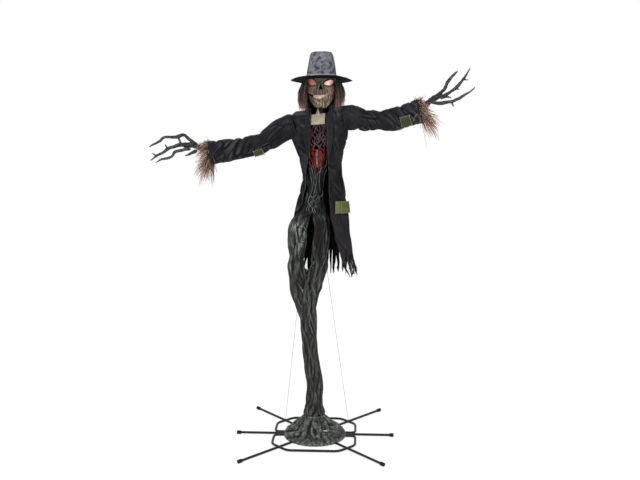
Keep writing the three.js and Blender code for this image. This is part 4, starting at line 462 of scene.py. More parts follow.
# painted light: a pale pink vine, painted as glowing in the lamp's light
barkFinish("vineLampGlow", (0.1, 0.02, 0.015), (0.4, 0.16, 0.13), (0.62, 0.4, 0.34), 140)
barkFinish("handBark", (0.004, 0.005, 0.005), (0.018, 0.021, 0.02), (0.17, 0.19, 0.18), 160, 1.0)
barkFinish("moundBark", (0.005, 0.006, 0.005), (0.05, 0.056, 0.051), (0.21, 0.23, 0.21), 60, 1.0)
clothFinish("coatCloth", (0.006, 0.0062, 0.0085), (0.085, 0.086, 0.098), wearShare=0.3,
            stain=(0.03, 0.023, 0.034))
clothFinish("lapelCloth", (0.011, 0.0125, 0.0145), (0.055, 0.06, 0.068), wearShare=0.45)
clothFinish("coatLining", (0.004, 0.004, 0.005), (0.009, 0.009, 0.011))
clothFinish("hipCloth", (0.1, 0.115, 0.033), (0.19, 0.2, 0.08), 500, 30, stain=(0.18, 0.17, 0.066))
clothFinish("armCloth", (0.05, 0.056, 0.026), (0.12, 0.13, 0.07), 500, 30)
clothFinish("bibCloth", (0.42, 0.36, 0.25), (0.62, 0.56, 0.43), 330, 25, bump=0.0014)
strandFinish("twineCream", (0.13, 0.09, 0.07), (0.26, 0.2, 0.15), (0.45, 0.38, 0.28))
strandFinish("threadBlack", (0.006, 0.006, 0.007), (0.012, 0.012, 0.014), (0.03, 0.028, 0.034))
strandFinish("strawTan", (0.06, 0.022, 0.015), (0.19, 0.085, 0.058), (0.46, 0.3, 0.23))
strandFinish("hairBrown", (0.003, 0.002, 0.002), (0.034, 0.015, 0.011), (0.23, 0.115, 0.088), rise=0.6)
plainFinish("threadPale", (0.4, 0.4, 0.28), (0.3, 0.3, 0.2), 0.8)
plainFinish("feltGrey", (0.04, 0.039, 0.055), (0.235, 0.24, 0.27), 0.9, 46, bump=0.001, fine=260,
            band=(0.55, 0.55, 0.56), gloss=0.1)
# painted shade: near-black felt for the hat's inner face, standing for the shade under the brim
plainFinish("feltUnderShade", (0.004, 0.004, 0.005), (0.014, 0.014, 0.016), 0.9, 30, bump=0.001, fine=260, gloss=0.05)
plainFinish("blackSteel", (0.009, 0.0095, 0.01), (0.018, 0.019, 0.02), 0.45, 30, gloss=0.2)
plainFinish("capRubber", (0.008, 0.008, 0.009), (0.015, 0.015, 0.016), 0.7, gloss=0.15)
plainFinish("boxPlastic", (0.01, 0.01, 0.012), (0.018, 0.018, 0.02), 0.55, gloss=0.25)
plainFinish("zincSteel", (0.42, 0.43, 0.45), (0.5, 0.51, 0.53), 0.35, metallic=1.0)
plainFinish("tetherGrey", (0.12, 0.12, 0.12), (0.2, 0.2, 0.2), 0.6)
plainFinish("sensorMilk", (0.5, 0.5, 0.46), (0.6, 0.6, 0.56), 0.3)
glowFinish("eyeGlow", (0.7, 0.45, 0.38), (0.85, 0.55, 0.48), 0.42)
glowFinish("eyeDull", (0.34, 0.13, 0.09), (0.6, 0.2, 0.14), 0.28, 70)
glowFinish("mouthGlow", (0.78, 0.53, 0.45), (0.88, 0.58, 0.5), 0.4)
glowFinish("redGlow", (0.004, 0.0003, 0.0003), (0.085, 0.002, 0.002), 0.3, 130)


def makeMaskFinish():
    # moulded skin: each point's tint, darker in the cracks and in the painted shade round the eye and nose holes
    tree, shader = newFinish("maskSkin", 0.62)
    tint = nodeIn(tree, "ShaderNodeAttribute", attribute_name="tint").outputs["Color"]
    grain = grouped(tree, barkGrain, Scale=190, Along=0.25)
    clouds = sumOf(tree, "MULTIPLY", maskOf(tree, 95, 0.46, 0.62), 0.7)
    colour = blended(tree, clouds, tint, (0.022, 0.017, 0.01))
    colour = blended(tree, spread(tree, valueOf(tree, "crackAndRimShade"), 0.15, 0.8), colour, (0.008, 0.006, 0.005))
    tree.links.new(colour, shader.inputs["Base Color"])
    bumped(tree, shader, grain["Height"], 0.5, 0.0015)


makeMaskFinish()
print("finishes made:", len(finishes))


def dress(piece, *names):
    piece.data.materials.clear()
    for name in names:
        piece.data.materials.append(finishes[name])
    return piece


def stand(piece, body, slot, *replaced):
    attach(piece, body)
    if replaced:
        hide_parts(*replaced)
    return piece


# trees that make what repeats
def newTree(name, inputs):
    tree = bpy.data.node_groups.new(name, "GeometryNodeTree")
    tree.interface.new_socket("Geometry", in_out="INPUT", socket_type="NodeSocketGeometry")
    for title, (kind, value) in inputs.items():
        socket = tree.interface.new_socket(title, in_out="INPUT", socket_type="NodeSocket" + kind)
        if value is not None:
            socket.default_value = value
    tree.interface.new_socket("Geometry", in_out="OUTPUT", socket_type="NodeSocketGeometry")
    return tree, nodeIn(tree, "NodeGroupInput").outputs, nodeIn(tree, "NodeGroupOutput").inputs


def sweptRound(tree, curves, sides, radius, **more):
    # a capped round tube along the curves
    circle = {"Resolution": sides, "Radius": radius}
    profile = nodeIn(tree, "GeometryNodeCurvePrimitiveCircle", circle).outputs[0]
    keys = {"Curve": curves, "Profile Curve": profile, "Fill Caps": True, **more}
    return nodeIn(tree, "GeometryNodeCurveToMesh", keys).outputs[0]


def handOut(tree, solid, finish, out):
    # real geometry, in the finish
    real = nodeIn(tree, "GeometryNodeRealizeInstances", {"Geometry": solid}).outputs[0]
    painted = nodeIn(tree, "GeometryNodeSetMaterial", {"Geometry": real, "Material": finish}).outputs[0]
    tree.links.new(painted, out["Geometry"])
    return tree


def makeStrandTree():
    # a tapered round strand along every guide line
    inputs = {"Sides": ("Int", 4), "Thickness": ("Float", 0.001), "Finish": ("Material", None)}
    tree, given, out = newTree("strands", inputs)
    curves = nodeIn(tree, "GeometryNodeMeshToCurve", {"Mesh": given["Geometry"]}).outputs[0]
    girth = nodeIn(tree, "GeometryNodeInputNamedAttribute", {"Name": "girth"}, data_type="FLOAT").outputs[0]
    solid = sweptRound(tree, curves, given["Sides"], given["Thickness"], Scale=girth)
    return handOut(tree, solid, given["Finish"], out)


def makeStitchTree():
    # short slanted stitches along a seam line
    inputs = {
        "Spacing": ("Float", 0.006), "Length": ("Float", 0.006), "Thickness": ("Float", 0.0006),
        "Slant": ("Float", 0.9), "Finish": ("Material", None),
    }
    tree, given, out = newTree("stitches", inputs)
    seam = nodeIn(tree, "GeometryNodeMeshToCurve", {"Mesh": given["Geometry"]}).outputs[0]
    keys = {"Curve": seam, "Length": given["Spacing"]}
    spots = nodeIn(tree, "GeometryNodeCurveToPoints", keys, mode="LENGTH").outputs
    halves = [sumOf(tree, "MULTIPLY", given["Length"], half) for half in (-0.5, 0.5)]
    start, end = (nodeIn(tree, "ShaderNodeCombineXYZ", {"Z": half}).outputs[0] for half in halves)
    thread = nodeIn(tree, "GeometryNodeCurvePrimitiveLine", {"Start": start, "End": end}).outputs[0]
    stitch = sweptRound(tree, thread, 5, given["Thickness"])
    slant = nodeIn(tree, "ShaderNodeCombineXYZ", {"X": given["Slant"]}).outputs[0]
    turned = nodeIn(tree, "FunctionNodeRotateRotation", {"Rotation": spots["Rotation"]}, rotation_space="LOCAL")
    tree.links.new(slant, turned.inputs[1])
    keys = {"Points": spots["Points"], "Instance": stitch, "Rotation": turned.outputs[0]}
    placed = nodeIn(tree, "GeometryNodeInstanceOnPoints", keys).outputs[0]
    return handOut(tree, placed, given["Finish"], out)


strandTree, stitchTree = makeStrandTree(), makeStitchTree()


def guideLines(name, lines, girths=None, tones=None):
    # a mesh of open lines with the values that the trees read
    points, edges, girth, along, tone = [], [], [], [], []
    for number, line in enumerate(lines):
        start, count = len(points), len(line)
        points += [tuple(p) for p in line]
        edges += [(start + i, start + i + 1) for i in range(count - 1)]
        along += list(np.linspace(0, 1, count))
        girth += list(girths[number]) if girths is not None else [1.0] * count
        tone += [tones[number] if tones is not None else 0.5] * count
    mesh = bpy.data.meshes.new(name)
    mesh.from_pydata(points, edges, [])
    guide = bpy.data.objects.new(name, mesh)
    scene.collection.objects.link(guide)
    for title, values in (("girth", girth), ("along", along), ("tone", tone)):
        giveValues(guide, title, values)
    return guide


def grownFrom(guide, tree, finish, **values):
    # the tree's result as the piece's own plain mesh
    modifier = guide.modifiers.new("tree", "NODES")
    modifier.node_group = tree
    items = tree.interface.items_tree
    sockets = {item.name: item.identifier for item in items if item.in_out == "INPUT"}
    modifier[sockets["Finish"]] = finishes[finish]
    for title, value in values.items():
        modifier[sockets[title]] = value
    return settled(guide)


def strandsFrom(name, lines, girths, tones, finish, thick, sides=4):
    guide = guideLines(name, lines, girths, tones)
    return grownFrom(guide, strandTree, finish, Sides=sides, Thickness=thick)


# roots that make the trunk, the legs and the pelvis; hips are [leg, waist turn, leg turn, radius, foot]
roots = {
    "right": {
        "origin": (0, 0, 0.74), "reach": 0.11, "height": 0.79, "radius": 0.05, "depth": 0.95,
        "rows": [[-.38, 0, 0, .75], [-.62, 0, .12, .9], [-.86, 0, .25, .97], [-1, 0, .36, 1],
                 [-1.03, -.03, .48, 1.03], [-1.02, -.04, .55, .88], [-1.02, -.06, .65, 1.12],
                 [-.98, -.04, .76, 1.12], [-.82, 0, .84, .94], [-.64, 0, .92, .78], [-.46, 0, 1, .6]],
    },
    "left": {
        "origin": (0, 0, 0.74), "reach": 0.11, "height": 0.79, "radius": 0.05, "depth": 0.95,
        "rows": [[-.36, 0, 0, .75], [-.32, 0, .12, .85], [-.2, 0, .25, .95], [0, .02, .35, 1.02],
                 [.24, .02, .47, 1.02], [.29, 0, .55, .94], [.34, -.02, .65, 1], [.4, -.02, .76, .94],
                 [.34, 0, .85, .92], [.28, 0, .92, .88], [.22, 0, 1, .66]],
    },
    "trunk": {
        "origin": (0, 0, 0.116), "reach": 0.05, "height": 0.844, "radius": 0.05, "depth": 0.98,
        "rows": [[-.2, 0, 0, 1.42], [-.14, 0, .06, 1.28], [-.1, 0, .14, 1.12], [-.06, 0, .26, 1.01],
                 [-.36, 0, .39, 1], [-.62, 0, .53, 1], [-.74, 0, .66, 1.02], [-.84, 0, .79, 1.1],
                 [-1.1, 0, .91, 1.1], [-1.3, 0, 1, .8]],
    },
    "crotch": [
        [[-.056, -.004, 1.1, .008], [-.051, -.004, 1.06, .018], [-.047, 0, 1.01, .025],
         [-.042, 0, .94, .028], [-.034, 0, .86, .026], [-.03, 0, .8, .02]],
        [[-.03, -.03, 1.09, .006], [-.04, -.032, 1.04, .011], [-.056, -.034, .98, .012],
         [-.06, -.038, .9, .012], [-.04, -.044, .82, .01], [-.03, -.046, .74, .006]],
        [[-.075, -.02, 1.12, .006], [-.062, -.028, 1.07, .01], [-.045, -.034, 1.0, .011],
         [-.034, -.04, .92, .012], [-.038, -.046, .83, .01], [-.05, -.046, .76, .005]],
    ],
    "waistShade": {"start": 1.4, "rise": 0.06, "most": 0.94},
    "innerShade": {"x": 0.034, "z": 1.31, "wide": 0.036, "high": 0.15, "most": 0.96},
    "hips": [
        ["right", .58, .52, .011, .46], ["right", .66, .64, .009, .55], ["right", .72, .76, .008, .6],
        ["right", .45, .42, .012, .44], ["right", .32, .3, .011, .5], ["left", .92, .96, .011, .44],
        ["left", .84, .84, .009, .5], ["left", .78, .7, .008, .58], ["left", .05, .06, .012, .42],
        ["left", .18, .2, .011, .5], ["right", .25, .15, .009, .62], ["left", .25, .35, .009, .62],
    ],
    "legPale": [
        [-.11, 1.33, .06, .15, .95], [-.08, .935, .028, .055, .75], [.065, 1.33, .03, .2, .6],
        [.04, .87, .026, .06, .8], [.035, 1.0, .018, .05, .5], [-.02, 1.4, .02, .06, .4],
        [-.15, 1.12, .02, .08, .5],
    ],
    # painted highlights: pale spots down the trunk's front, as if lit
    "trunkHighlights": [[-.03, .72, .018, .11, .4], [-.005, .5, .02, .1, .3], [.02, .3, .03, .1, .3]],
    "torso": {
        "origin": (0, 0, 1.452), "reach": 0.034, "height": 0.588, "radius": 0.096, "depth": 0.7,
        "rows": [[-.48, 0, 0, .56], [-.46, 0, .12, .54], [-.2, 0, .25, .46], [.15, 0, .36, .48],
                 [.45, 0, .46, .64], [.62, 0, .58, .84], [.72, 0, .7, .94], [.85, 0, .84, 1],
                 [.95, 0, .94, .95], [1, 0, 1, .62]],
    },
}


rootAcross = (0.3, 0.2, 1)


def limbLine(limb, count):
    # the limb's centre line and its radii, from rows of [x, y, share of the height, radius]
    rows = lineThrough(limb["rows"], count)
    line = np.array(limb["origin"]) + rows[:, :3] * (limb["reach"], limb["reach"], limb["height"])
    return line, rows[:, 3] * limb["radius"]


def limbCore(limb, share, high=1.0, count=60):
    # the limb's inner tube, up to a share of its height
    line, radii = limbLine(limb, count)
    keep = slice(0, int(high * count))
    return tubeAround(line[keep], radii[keep] * share, 28, flat=limb["depth"])


def windingRoot(limb, turns, thick, out, wave, waves, phase):
    # a root that winds along a limb: turns is a list of [share of the way, turns from +X]
    line, radii = limbLine(limb, steps)
    share = np.linspace(0, 1, 90)
    place = share * (steps - 1)
    middle = np.stack(columnsAt(place, line), axis=1)
    radius = np.interp(place, range(steps), radii)
    one, two = sideways(middle, (1, 0, 0))
    turn = np.interp(share, *np.asarray(turns, float).T)
    angle = 2 * math.pi * (turn + wave * np.sin(2 * math.pi * waves * share + phase))
    side = one * np.cos(angle)[:, None] + limb["depth"] * two * np.sin(angle)[:, None]
    swell = thick * (1 + 0.22 * np.sin(23 * share + 2 * phase))
    for far in (share, 1 - share):
        swell = swell * np.clip(8 * (far + 0.03), 0.3, 1)
    path = middle + side * (radius * out)[:, None]
    return tubeAround(path, swell * radius / np.mean(radii), 10, across=rootAcross)


def rootBundle(limb, seed, count, twist, thick, out=0.8):
    # roots all round a limb; twist is how many turns they make on the way
    luck = np.random.default_rng(seed)
    parts = []
    for k in range(count):
        start = k / count + luck.uniform(-0.03, 0.03)
        turns = [[0, start]]
        for share, least, most in ((0.3, 0.1, 0.5), (0.65, 0.4, 0.9), (1, 0.8, 1.3)):
            turns.append([share, start + twist * luck.uniform(least, most)])
        size, wave, waves, phase = (luck.uniform(*ends) for ends in (thick, (0.015, 0.045), (2, 5), (0, 6)))
        parts.append(windingRoot(limb, turns, size, out, wave, waves, phase))
    return parts


def rootPiece(name, parts, size, finish, rounds=14, full=0.0022, grain=0.0012):
    # the parts grown together at a voxel size, then eased, roughened and read for ridges
    points, faces = together(parts)
    piece = grown(newPiece(name, points, faces), size)
    points = eased(places(piece), edgesOf(piece), 2)
    moveTo(piece, points)
    rough = noiseAt(points, (70, 70, 14)) + 0.5 * noiseAt(points, (160, 160, 40), 7.0)
    moveTo(piece, points + normals(piece) * (grain * rough)[:, None])
    markRidges(piece, rounds, full)
    return dress(piece, finish)


def freeRoot(rows, count=40):
    # a root through rows of [x, y, z, radius]
    line = lineThrough(rows, count)
    return tubeAround(line[:, :3], line[:, 3], 12, across=rootAcross)


def onLimb(limb, share, turn, out):
    # a point on a limb's skin, turn counted from +X through the rear
    line, radii = limbLine(limb, steps)
    x, y, z, radius = columnsAt(share * (steps - 1), np.column_stack([line, radii]))
    angle = 2 * math.pi * turn
    return [x + out * radius * math.cos(angle), y + limb["depth"] * out * radius * math.sin(angle), z]


def hipRoot(leg, waistTurn, legTurn, thick, foot, phase):
    # a root that leaves the waist, crosses the hip and runs down the thigh
    rows = []
    for share in (0.44, 0.3, 0.16, 0.04):
        turn = waistTurn + 0.02 * math.sin(9 * share + phase)
        rows.append([*onLimb(roots["torso"], share, turn, 0.9), 0.8 * thick])
    for share in np.linspace(0.84, foot, 6):
        turn = legTurn + 0.04 * math.sin(12 * share + phase)
        rows.append([*onLimb(leg, share, turn, 0.88), thick])
    rows[0][3], rows[-2][3], rows[-1][3] = 0.5 * thick, 0.8 * thick, 0.25 * thick
    return freeRoot(rows, 90)


def paleAt(points, spots):
    # how pale the bark is, from spots of [x, z, half width, half height, strength]
    value = 0.12 + 0.25 * noiseAt(points, (22, 22, 9), 31.0)
    for x, z, wide, high, strength in spots:
        blob = strength * np.exp(-((points[:, 0] - x) / wide) ** 2 - ((points[:, 2] - z) / high) ** 2)
        value = np.maximum(value, blob * (1 + 0.5 * noiseAt(points, (30, 30, 8), 17.0)))
    return np.clip(value, 0, 1)


right, left, stem = roots["right"], roots["left"], roots["trunk"]
stemParts = [limbCore(stem, 0.84)]
for seed, count, twist, thick, out in ((3, 9, 0.35, (0.009, 0.018), 0.8), (8, 7, -0.5, (0.004, 0.008), 0.93)):
    stemParts += rootBundle(stem, seed, count, twist, thick, out)
trunk = rootPiece("trunkRoots", stemParts, 0.0032, "rootBark")
# the pale value holds painted highlights down the trunk's front
giveValues(trunk, "pale", paleAt(places(trunk), roots["trunkHighlights"]))
stand(trunk, "stand", "trunk_bark", "trunk_lower")

legParts = [limbCore(right, 0.82), limbCore(left, 0.82), limbCore(roots["torso"], 0.78, 0.4)]
for leg, seed, count, twist, thick, out in (
    (right, 11, 8, 0.5, (0.009, 0.017), 0.8), (left, 12, 8, -0.35, (0.009, 0.016), 0.8),
    (right, 15, 5, -0.6, (0.004, 0.007), 0.95), (left, 16, 5, 0.6, (0.004, 0.007), 0.95),
):
    legParts += rootBundle(leg, seed, count, twist, thick, out)
legParts += [freeRoot(rows) for rows in roots["crotch"]]
for number, (leg, *route) in enumerate(roots["hips"]):
    legParts.append(hipRoot(roots[leg], *route, number))
legs = rootPiece("legRoots", legParts, 0.0033, "rootBark")
giveValues(legs, "pale", paleAt(places(legs), roots["legPale"]))
spots, waist, inner = places(legs), roots["waistShade"], roots["innerShade"]
waistShade = waist["most"] * np.clip((spots[:, 2] - waist["start"]) / waist["rise"], 0, 1)
aside, above = (spots[:, 0] - inner["x"]) / inner["wide"], (spots[:, 2] - inner["z"]) / inner["high"]
innerShade = inner["most"] * np.exp(-aside**4 - above**4)
giveValues(legs, "shade", np.maximum(waistShade, innerShade))
stand(legs, "stand", "root_bark", "trunk_fork", "thigh_right", "thigh_left", "pelvis_roots")
print("roots grown", len(trunk.data.polygons), len(legs.data.polygons))


# chest and waist: a near-black shell painted as the shade inside the hollow chest, thin vines, some with the red
# lamp's light and one with its glow painted on them, the red lamp behind them
cage = {
    "window": (-0.03, 0.078, 1.718, 2.0), "wall": 0.008, "shellLow": 1.642, "shellShare": 0.93,
    "chestNet": (1.845, 2.03, -0.02, 0.068, 5, 0.01, 0.08),
    "waistNet": (1.45, 1.575, -0.045, 0.045, 5, 0.011, 0.068),
    "purple": [
        [[0, 2.03], [-.002, 1.997], [-.019, 1.95], [-.016, 1.92], [-.002, 1.891], [.03, 1.87], [.062, 1.84]],
        [[.048, 2.03], [.046, 2.002], [.055, 1.95], [.05, 1.925], [.031, 1.9], [0, 1.872], [-.026, 1.845]],
        [[.02, 2.03], [.036, 1.975], [.022, 1.935], [.001, 1.917], [.008, 1.89], [.03, 1.862], [.04, 1.83]],
        [[.024, 2.03], [.006, 1.972], [.018, 1.937], [.03, 1.915], [.018, 1.888], [-.008, 1.865], [-.018, 1.83]],
        [[-.024, 2.03], [-.033, 1.96], [-.03, 1.9], [-.031, 1.85], [-.03, 1.8], [-.026, 1.75], [-.012, 1.71]],
        [[.072, 2.03], [.08, 1.95], [.079, 1.88], [.081, 1.82], [.076, 1.77], [.06, 1.73], [.042, 1.7]],
        [[-.01, 2.03], [-.028, 1.99], [-.01, 1.955], [-.027, 1.93], [-.024, 1.89], [-.004, 1.86]],
        [[.06, 2.03], [.07, 1.985], [.05, 1.96], [.07, 1.92], [.064, 1.885], [.046, 1.86]],
    ],
    # vines with the red lamp's light painted on them
    "red": [
        [[-.028, 1.87], [-.024, 1.825], [-.02, 1.79], [-.006, 1.755], [.0, 1.73]],
        [[0, 1.875], [-.008, 1.83], [-.003, 1.79], [.006, 1.75], [.01, 1.715]],
        [[.036, 1.878], [.042, 1.83], [.036, 1.79], [.029, 1.75], [.026, 1.715]],
        [[.062, 1.87], [.061, 1.82], [.053, 1.785], [.042, 1.75], [.036, 1.725]],
        [[-.024, 1.835], [.004, 1.806], [.04, 1.812], [.074, 1.84]],
        [[-.014, 1.785], [.02, 1.765], [.052, 1.782], [.07, 1.8]],
        [[-.02, 1.86], [.02, 1.845], [.045, 1.857], [.074, 1.85]],
    ],
    # one vine painted pale pink as if glowing in the lamp's light
    "bright": [[.018, 1.852], [.0175, 1.82], [.0165, 1.78], [.018, 1.738]],
    "waist": [
        [[-.036, 1.78], [-.026, 1.76], [-.004, 1.738], [.004, 1.69], [.006, 1.605], [.028, 1.545],
         [.03, 1.49], [.012, 1.44]],
        [[-.034, 1.74], [-.026, 1.71], [-.018, 1.66], [-.014, 1.6], [-.036, 1.545], [-.04, 1.49], [-.02, 1.44]],
        [[.07, 1.76], [.05, 1.735], [.02, 1.7], [.012, 1.64], [-.006, 1.57], [-.012, 1.52], [.004, 1.47],
         [.02, 1.42]],
        [[.05, 1.75], [.034, 1.71], [.03, 1.64], [.034, 1.58], [.012, 1.54], [.008, 1.5], [.036, 1.45]],
        [[-.02, 1.75], [-.01, 1.7], [-.006, 1.64], [-.022, 1.575], [-.008, 1.535], [-.028, 1.5], [-.052, 1.44]],
        [[.076, 1.73], [.06, 1.68], [.05, 1.6], [.05, 1.53], [.056, 1.45]],
        [[-.044, 1.7], [-.042, 1.62], [-.05, 1.54], [-.066, 1.46]],
    ],
}


def onTorso(rows, out):
    # rows of [x, z] laid on the torso's front, at a share of its radius
    line, radii = limbLine(roots["torso"], steps)
    x, z = np.array(rows).T
    middle = np.interp(z, line[:, 2], line[:, 0])
    radius = np.interp(z, line[:, 2], radii) * out
    y = -roots["torso"]["depth"] * np.sqrt(np.maximum(radius**2 - (x - middle) ** 2, (0.3 * radius) ** 2))
    return np.stack([x, y, z], axis=1)


def netLines(low, high, start, end, count, sway, pitch):
    # strands that swing from side to side and cross their neighbours
    z = np.linspace(high, low, 30)
    lines = []
    for number in range(count):
        x = start + (end - start) * number / (count - 1)
        swing = sway * np.sin(2 * math.pi * z / pitch + math.pi * number) + 0.004 * np.sin(31 * z + 5 * number)
        lines.append([[a, b] for a, b in zip(x + swing, z)])
    return lines


def vine(rows, thick, out, phase, count=60):
    line = lineThrough(onTorso(rows, out), count)
    share = np.linspace(0, 1, count)
    taper = np.interp(share, [0, 0.06, 0.9, 1], [0.5, 1, 0.9, 0.3])
    return tubeAround(line, thick * (1 + 0.2 * np.sin(19 * share + phase)) * taper, 10, across=(0, 1, 0.2))


def cageShell():
    # the hollow torso shell with its window, from the same rows as its solid
    line, radii = limbLine(roots["torso"], 70)
    keep = line[:, 2] > cage["shellLow"]
    girth, flat = radii[keep] * cage["shellShare"], roots["torso"]["depth"]
    points, faces = tubeAround(line[keep], girth, 72, flat=flat, capped=False)
    low, high, floor, top = cage["window"]
    kept = []
    for face in faces:
        x, y, z = np.mean([points[i] for i in face], axis=0)
        if not (y < 0 and low < x < high and floor < z < top):
            kept.append(face)
    return thickened(newPiece("torsoShell", points, kept), cage["wall"])


def vinePiece(name, lines, thick, finish, out):
    # every third vine is thinner, and every second one lies further out
    parts = []
    for number, rows in enumerate(lines):
        parts.append(vine(rows, thick * (1 - 0.1 * (number % 3)), out + 0.015 * (number % 2), 1.7 * number))
    return rootPiece(name, parts, 0.0014, finish, rounds=8, full=0.0011, grain=0.0004)


# the shell is painted near black as the shade inside the hollow chest
shell = dress(cageShell(), "hollowShadeBark")
markRidges(shell, 6, 0.004)
stand(shell, "stand", "vine_purple", "torso_cage")
for title, lines, thick, finish, out, slot in (
    ("purpleVines", cage["purple"] + netLines(*cage["chestNet"]), 0.003, "vinePurple", 0.98, "vine_purple"),
    ("redVines", cage["red"], 0.0038, "vineRedLampLit", 0.95, "vine_purple"),
    ("brightVine", [cage["bright"]], 0.0024, "vineLampGlow", 1.02, "vine_purple"),
    ("waistRoots", cage["waist"] + netLines(*cage["waistNet"]), 0.0024, "waistBark", 1.06, "root_bark"),
):
    stand(vinePiece(title, lines, thick, finish, out), "stand", slot)
print("chest made")


# the coat, its lapels, collar and hem threads; rows are [height, centre, half width, front, rear]
coat = {
    "hem": 1.08, "rise": 1.02, "halfWidth": 0.186, "halfDepth": 0.09, "cloth": 0.004,
    "rows": [[0, .194, 1.258, 1.44, 1.64], [.118, .194, 1.134, 1.36, 1.5], [.312, .21, 1, 1.2, 1.24],
             [.368, .242, .925, 1.14, 1.16], [.496, .263, .785, 1, 1.04], [.6, .26, .655, .94, .95],
             [.674, .207, .691, .95, .96], [.751, .172, .801, .97, .98], [.819, .164, .933, 1, 1],
             [.902, .172, .968, .93, .93], [.951, .172, .978, .7, .7], [.985, .172, .925, .42, .42],
             [1, .172, .806, .13, .13]],
    "tilt": 0.12, "tiltStart": 0.85, "tiltEnd": 0.95,
    "rightEdge": [[1.47, -.105], [1.518, -.086], [1.59, -.066], [1.702, -.05], [1.845, -.03],
                  [1.957, -.026], [2.05, -.02], [2.12, -.015]],
    "rightSweep": [[1.06, -2.32], [1.33, -2.28], [1.37, -2.2], [1.392, -1.85], [1.43, -1.5], [1.47, -1.2]],
    "leftEdge": [[1.08, .205], [1.131, .182], [1.19, .169], [1.31, .14], [1.44, .108], [1.59, .097],
                 [1.702, .093], [1.855, .086], [1.998, .078], [2.14, .07]],
    "sweepTop": 1.47, "columns": 320, "levels": 130, "neck": {"x": 0.034, "radius": 0.068, "above": 2.0},
    "tear": {"strips": 25, "depth": (0.09, 0.2), "tip": (-0.03, 0.008), "power": 1.7, "shallow": 0.45,
             "shallowAt": 0.13, "shallowReach": 0.1, "low": 0.022, "lowAt": 0.26, "lowReach": 0.22},
    "lapel": {"low": 0.72, "high": 0.965, "width": 0.036, "length": 0.26, "cloth": 0.003,
              "shares": [0, 0.15, 0.45, 0.72, 0.74, 0.78, 1], "widths": [0.05, 0.45, 0.85, 1, 0.72, 0.8, 0.75]},
    "collar": {
        "x": 0.035, "y": 0.004, "z": 2.1, "open": 2.26, "cloth": 0.003, "map": (0.42, 0.1),
        "frontStart": 1.1, "frontReach": 1.1, "frontDrop": 0.045,
        "rows": [[.071, 2.035], [.071, 2.07], [.073, 2.105], [.078, 2.128], [.084, 2.131], [.089, 2.12],
                 [.092, 2.1], [.094, 2.088]],
    },
    "threads": {"count": 260, "below": 1.16, "length": (0.012, 0.045), "thick": 0.0009},
}
coatTable = np.array(coat["rows"])


def coatRow(share):
    share = np.clip(share, 0, 1)
    return [np.interp(share, coatTable[:, 0], coatTable[:, k]) for k in range(1, 5)]


def coatPlace(share, angle, lift=0.0):
    # a point of the coat's outer face, at a share of its height and an angle from the front
    centre, wide, front, back = coatRow(share)
    fold = 0.010 * (1 - share) * np.cos(6 * angle)
    halfWidth = coat["halfWidth"] * wide + fold + lift
    blend = np.clip(0.5 + 2.5 * np.cos(angle), 0, 1)
    halfDepth = coat["halfDepth"] * (front * blend + back * (1 - blend)) + fold + lift
    across = halfWidth * np.sin(angle)
    tilt = coat["tilt"] * np.clip((share - coat["tiltStart"]) / (coat["tiltEnd"] - coat["tiltStart"]), 0, 1)
    height = coat["hem"] + coat["rise"] * share + tilt * across
    return np.stack([coat["halfWidth"] * centre + across, -halfDepth * np.cos(angle), height], axis=-1)


def edgeX(height, edge):
    return np.interp(height, *np.array(edge).T)


def frontAngle(share, x, most=0.985):
    # the angle of the coat's front at an x
    centre, wide, _, _ = coatRow(share)
    return np.arcsin(np.clip((x - coat["halfWidth"] * centre) / (coat["halfWidth"] * wide), -most, most))


def frontAngles(share):
    # where the coat's open front starts and ends; low on the right it sweeps back round the hip
    height = coat["hem"] + coat["rise"] * share
    right, left = (frontAngle(share, edgeX(height, coat[edge]), 0.98) for edge in ("rightEdge", "leftEdge"))
    return np.where(height < coat["sweepTop"], edgeX(height, coat["rightSweep"]), right), left


def hemRise(u, luck):
    # how far the torn hem stands above the lowest point: narrow notches between ragged strips
    tear = coat["tear"]
    strips = tear["strips"]
    inner = (np.arange(1, strips) + luck.uniform(-0.3, 0.3, strips - 1)) / strips
    cuts = np.sort(np.concatenate([[0, 1], inner]))
    nearShallow = np.abs(cuts - tear["shallowAt"]) < tear["shallowReach"]
    depth = luck.uniform(*tear["depth"], strips + 1) * np.where(nearShallow, tear["shallow"], 1)
    nearLow = np.abs(cuts[:-1] - tear["lowAt"]) < tear["lowReach"]
    tips = luck.uniform(*tear["tip"], strips) - tear["low"] * nearLow
    place = np.clip(np.searchsorted(cuts, u, side="right") - 1, 0, strips - 1)
    q = 2 * (u - cuts[place]) / (cuts[place + 1] - cuts[place]) - 1
    lean = luck.uniform(-0.5, 0.5, strips)[place]
    side = np.clip(np.abs(q - lean * (1 - q * q)), 0, 1)
    notch = np.where(q > lean, depth[place + 1], depth[place])
    return tips[place] * (1 - side) + notch * side ** tear["power"]


def giveMap(piece, columns, levels, width, length):
    # the sheet's own map, in metres of cloth
    layer = piece.data.uv_layers.new(name="sheetMap")
    spots = read(piece.data.loops, "vertex_index", 1, int)[:, 0]
    u = (spots % columns) / (columns - 1) * width
    v = (spots // columns) / (levels - 1) * length
    layer.data.foreach_set("uv", np.stack([u, v], axis=1).ravel())


def sheetPiece(name, points, faces, grid, size, finish, cloth, offset=-1.0, ridge=None):
    # a sheet of cloth: grid is columns and levels, size its map's, finish its outer and inner face
    piece = newPiece(name, points, faces)
    giveMap(piece, *grid, *size)
    piece = thickened(dress(piece, *finish), cloth, offset, len(finish) - 1)
    if ridge:
        markRidges(piece, *ridge)
    return piece


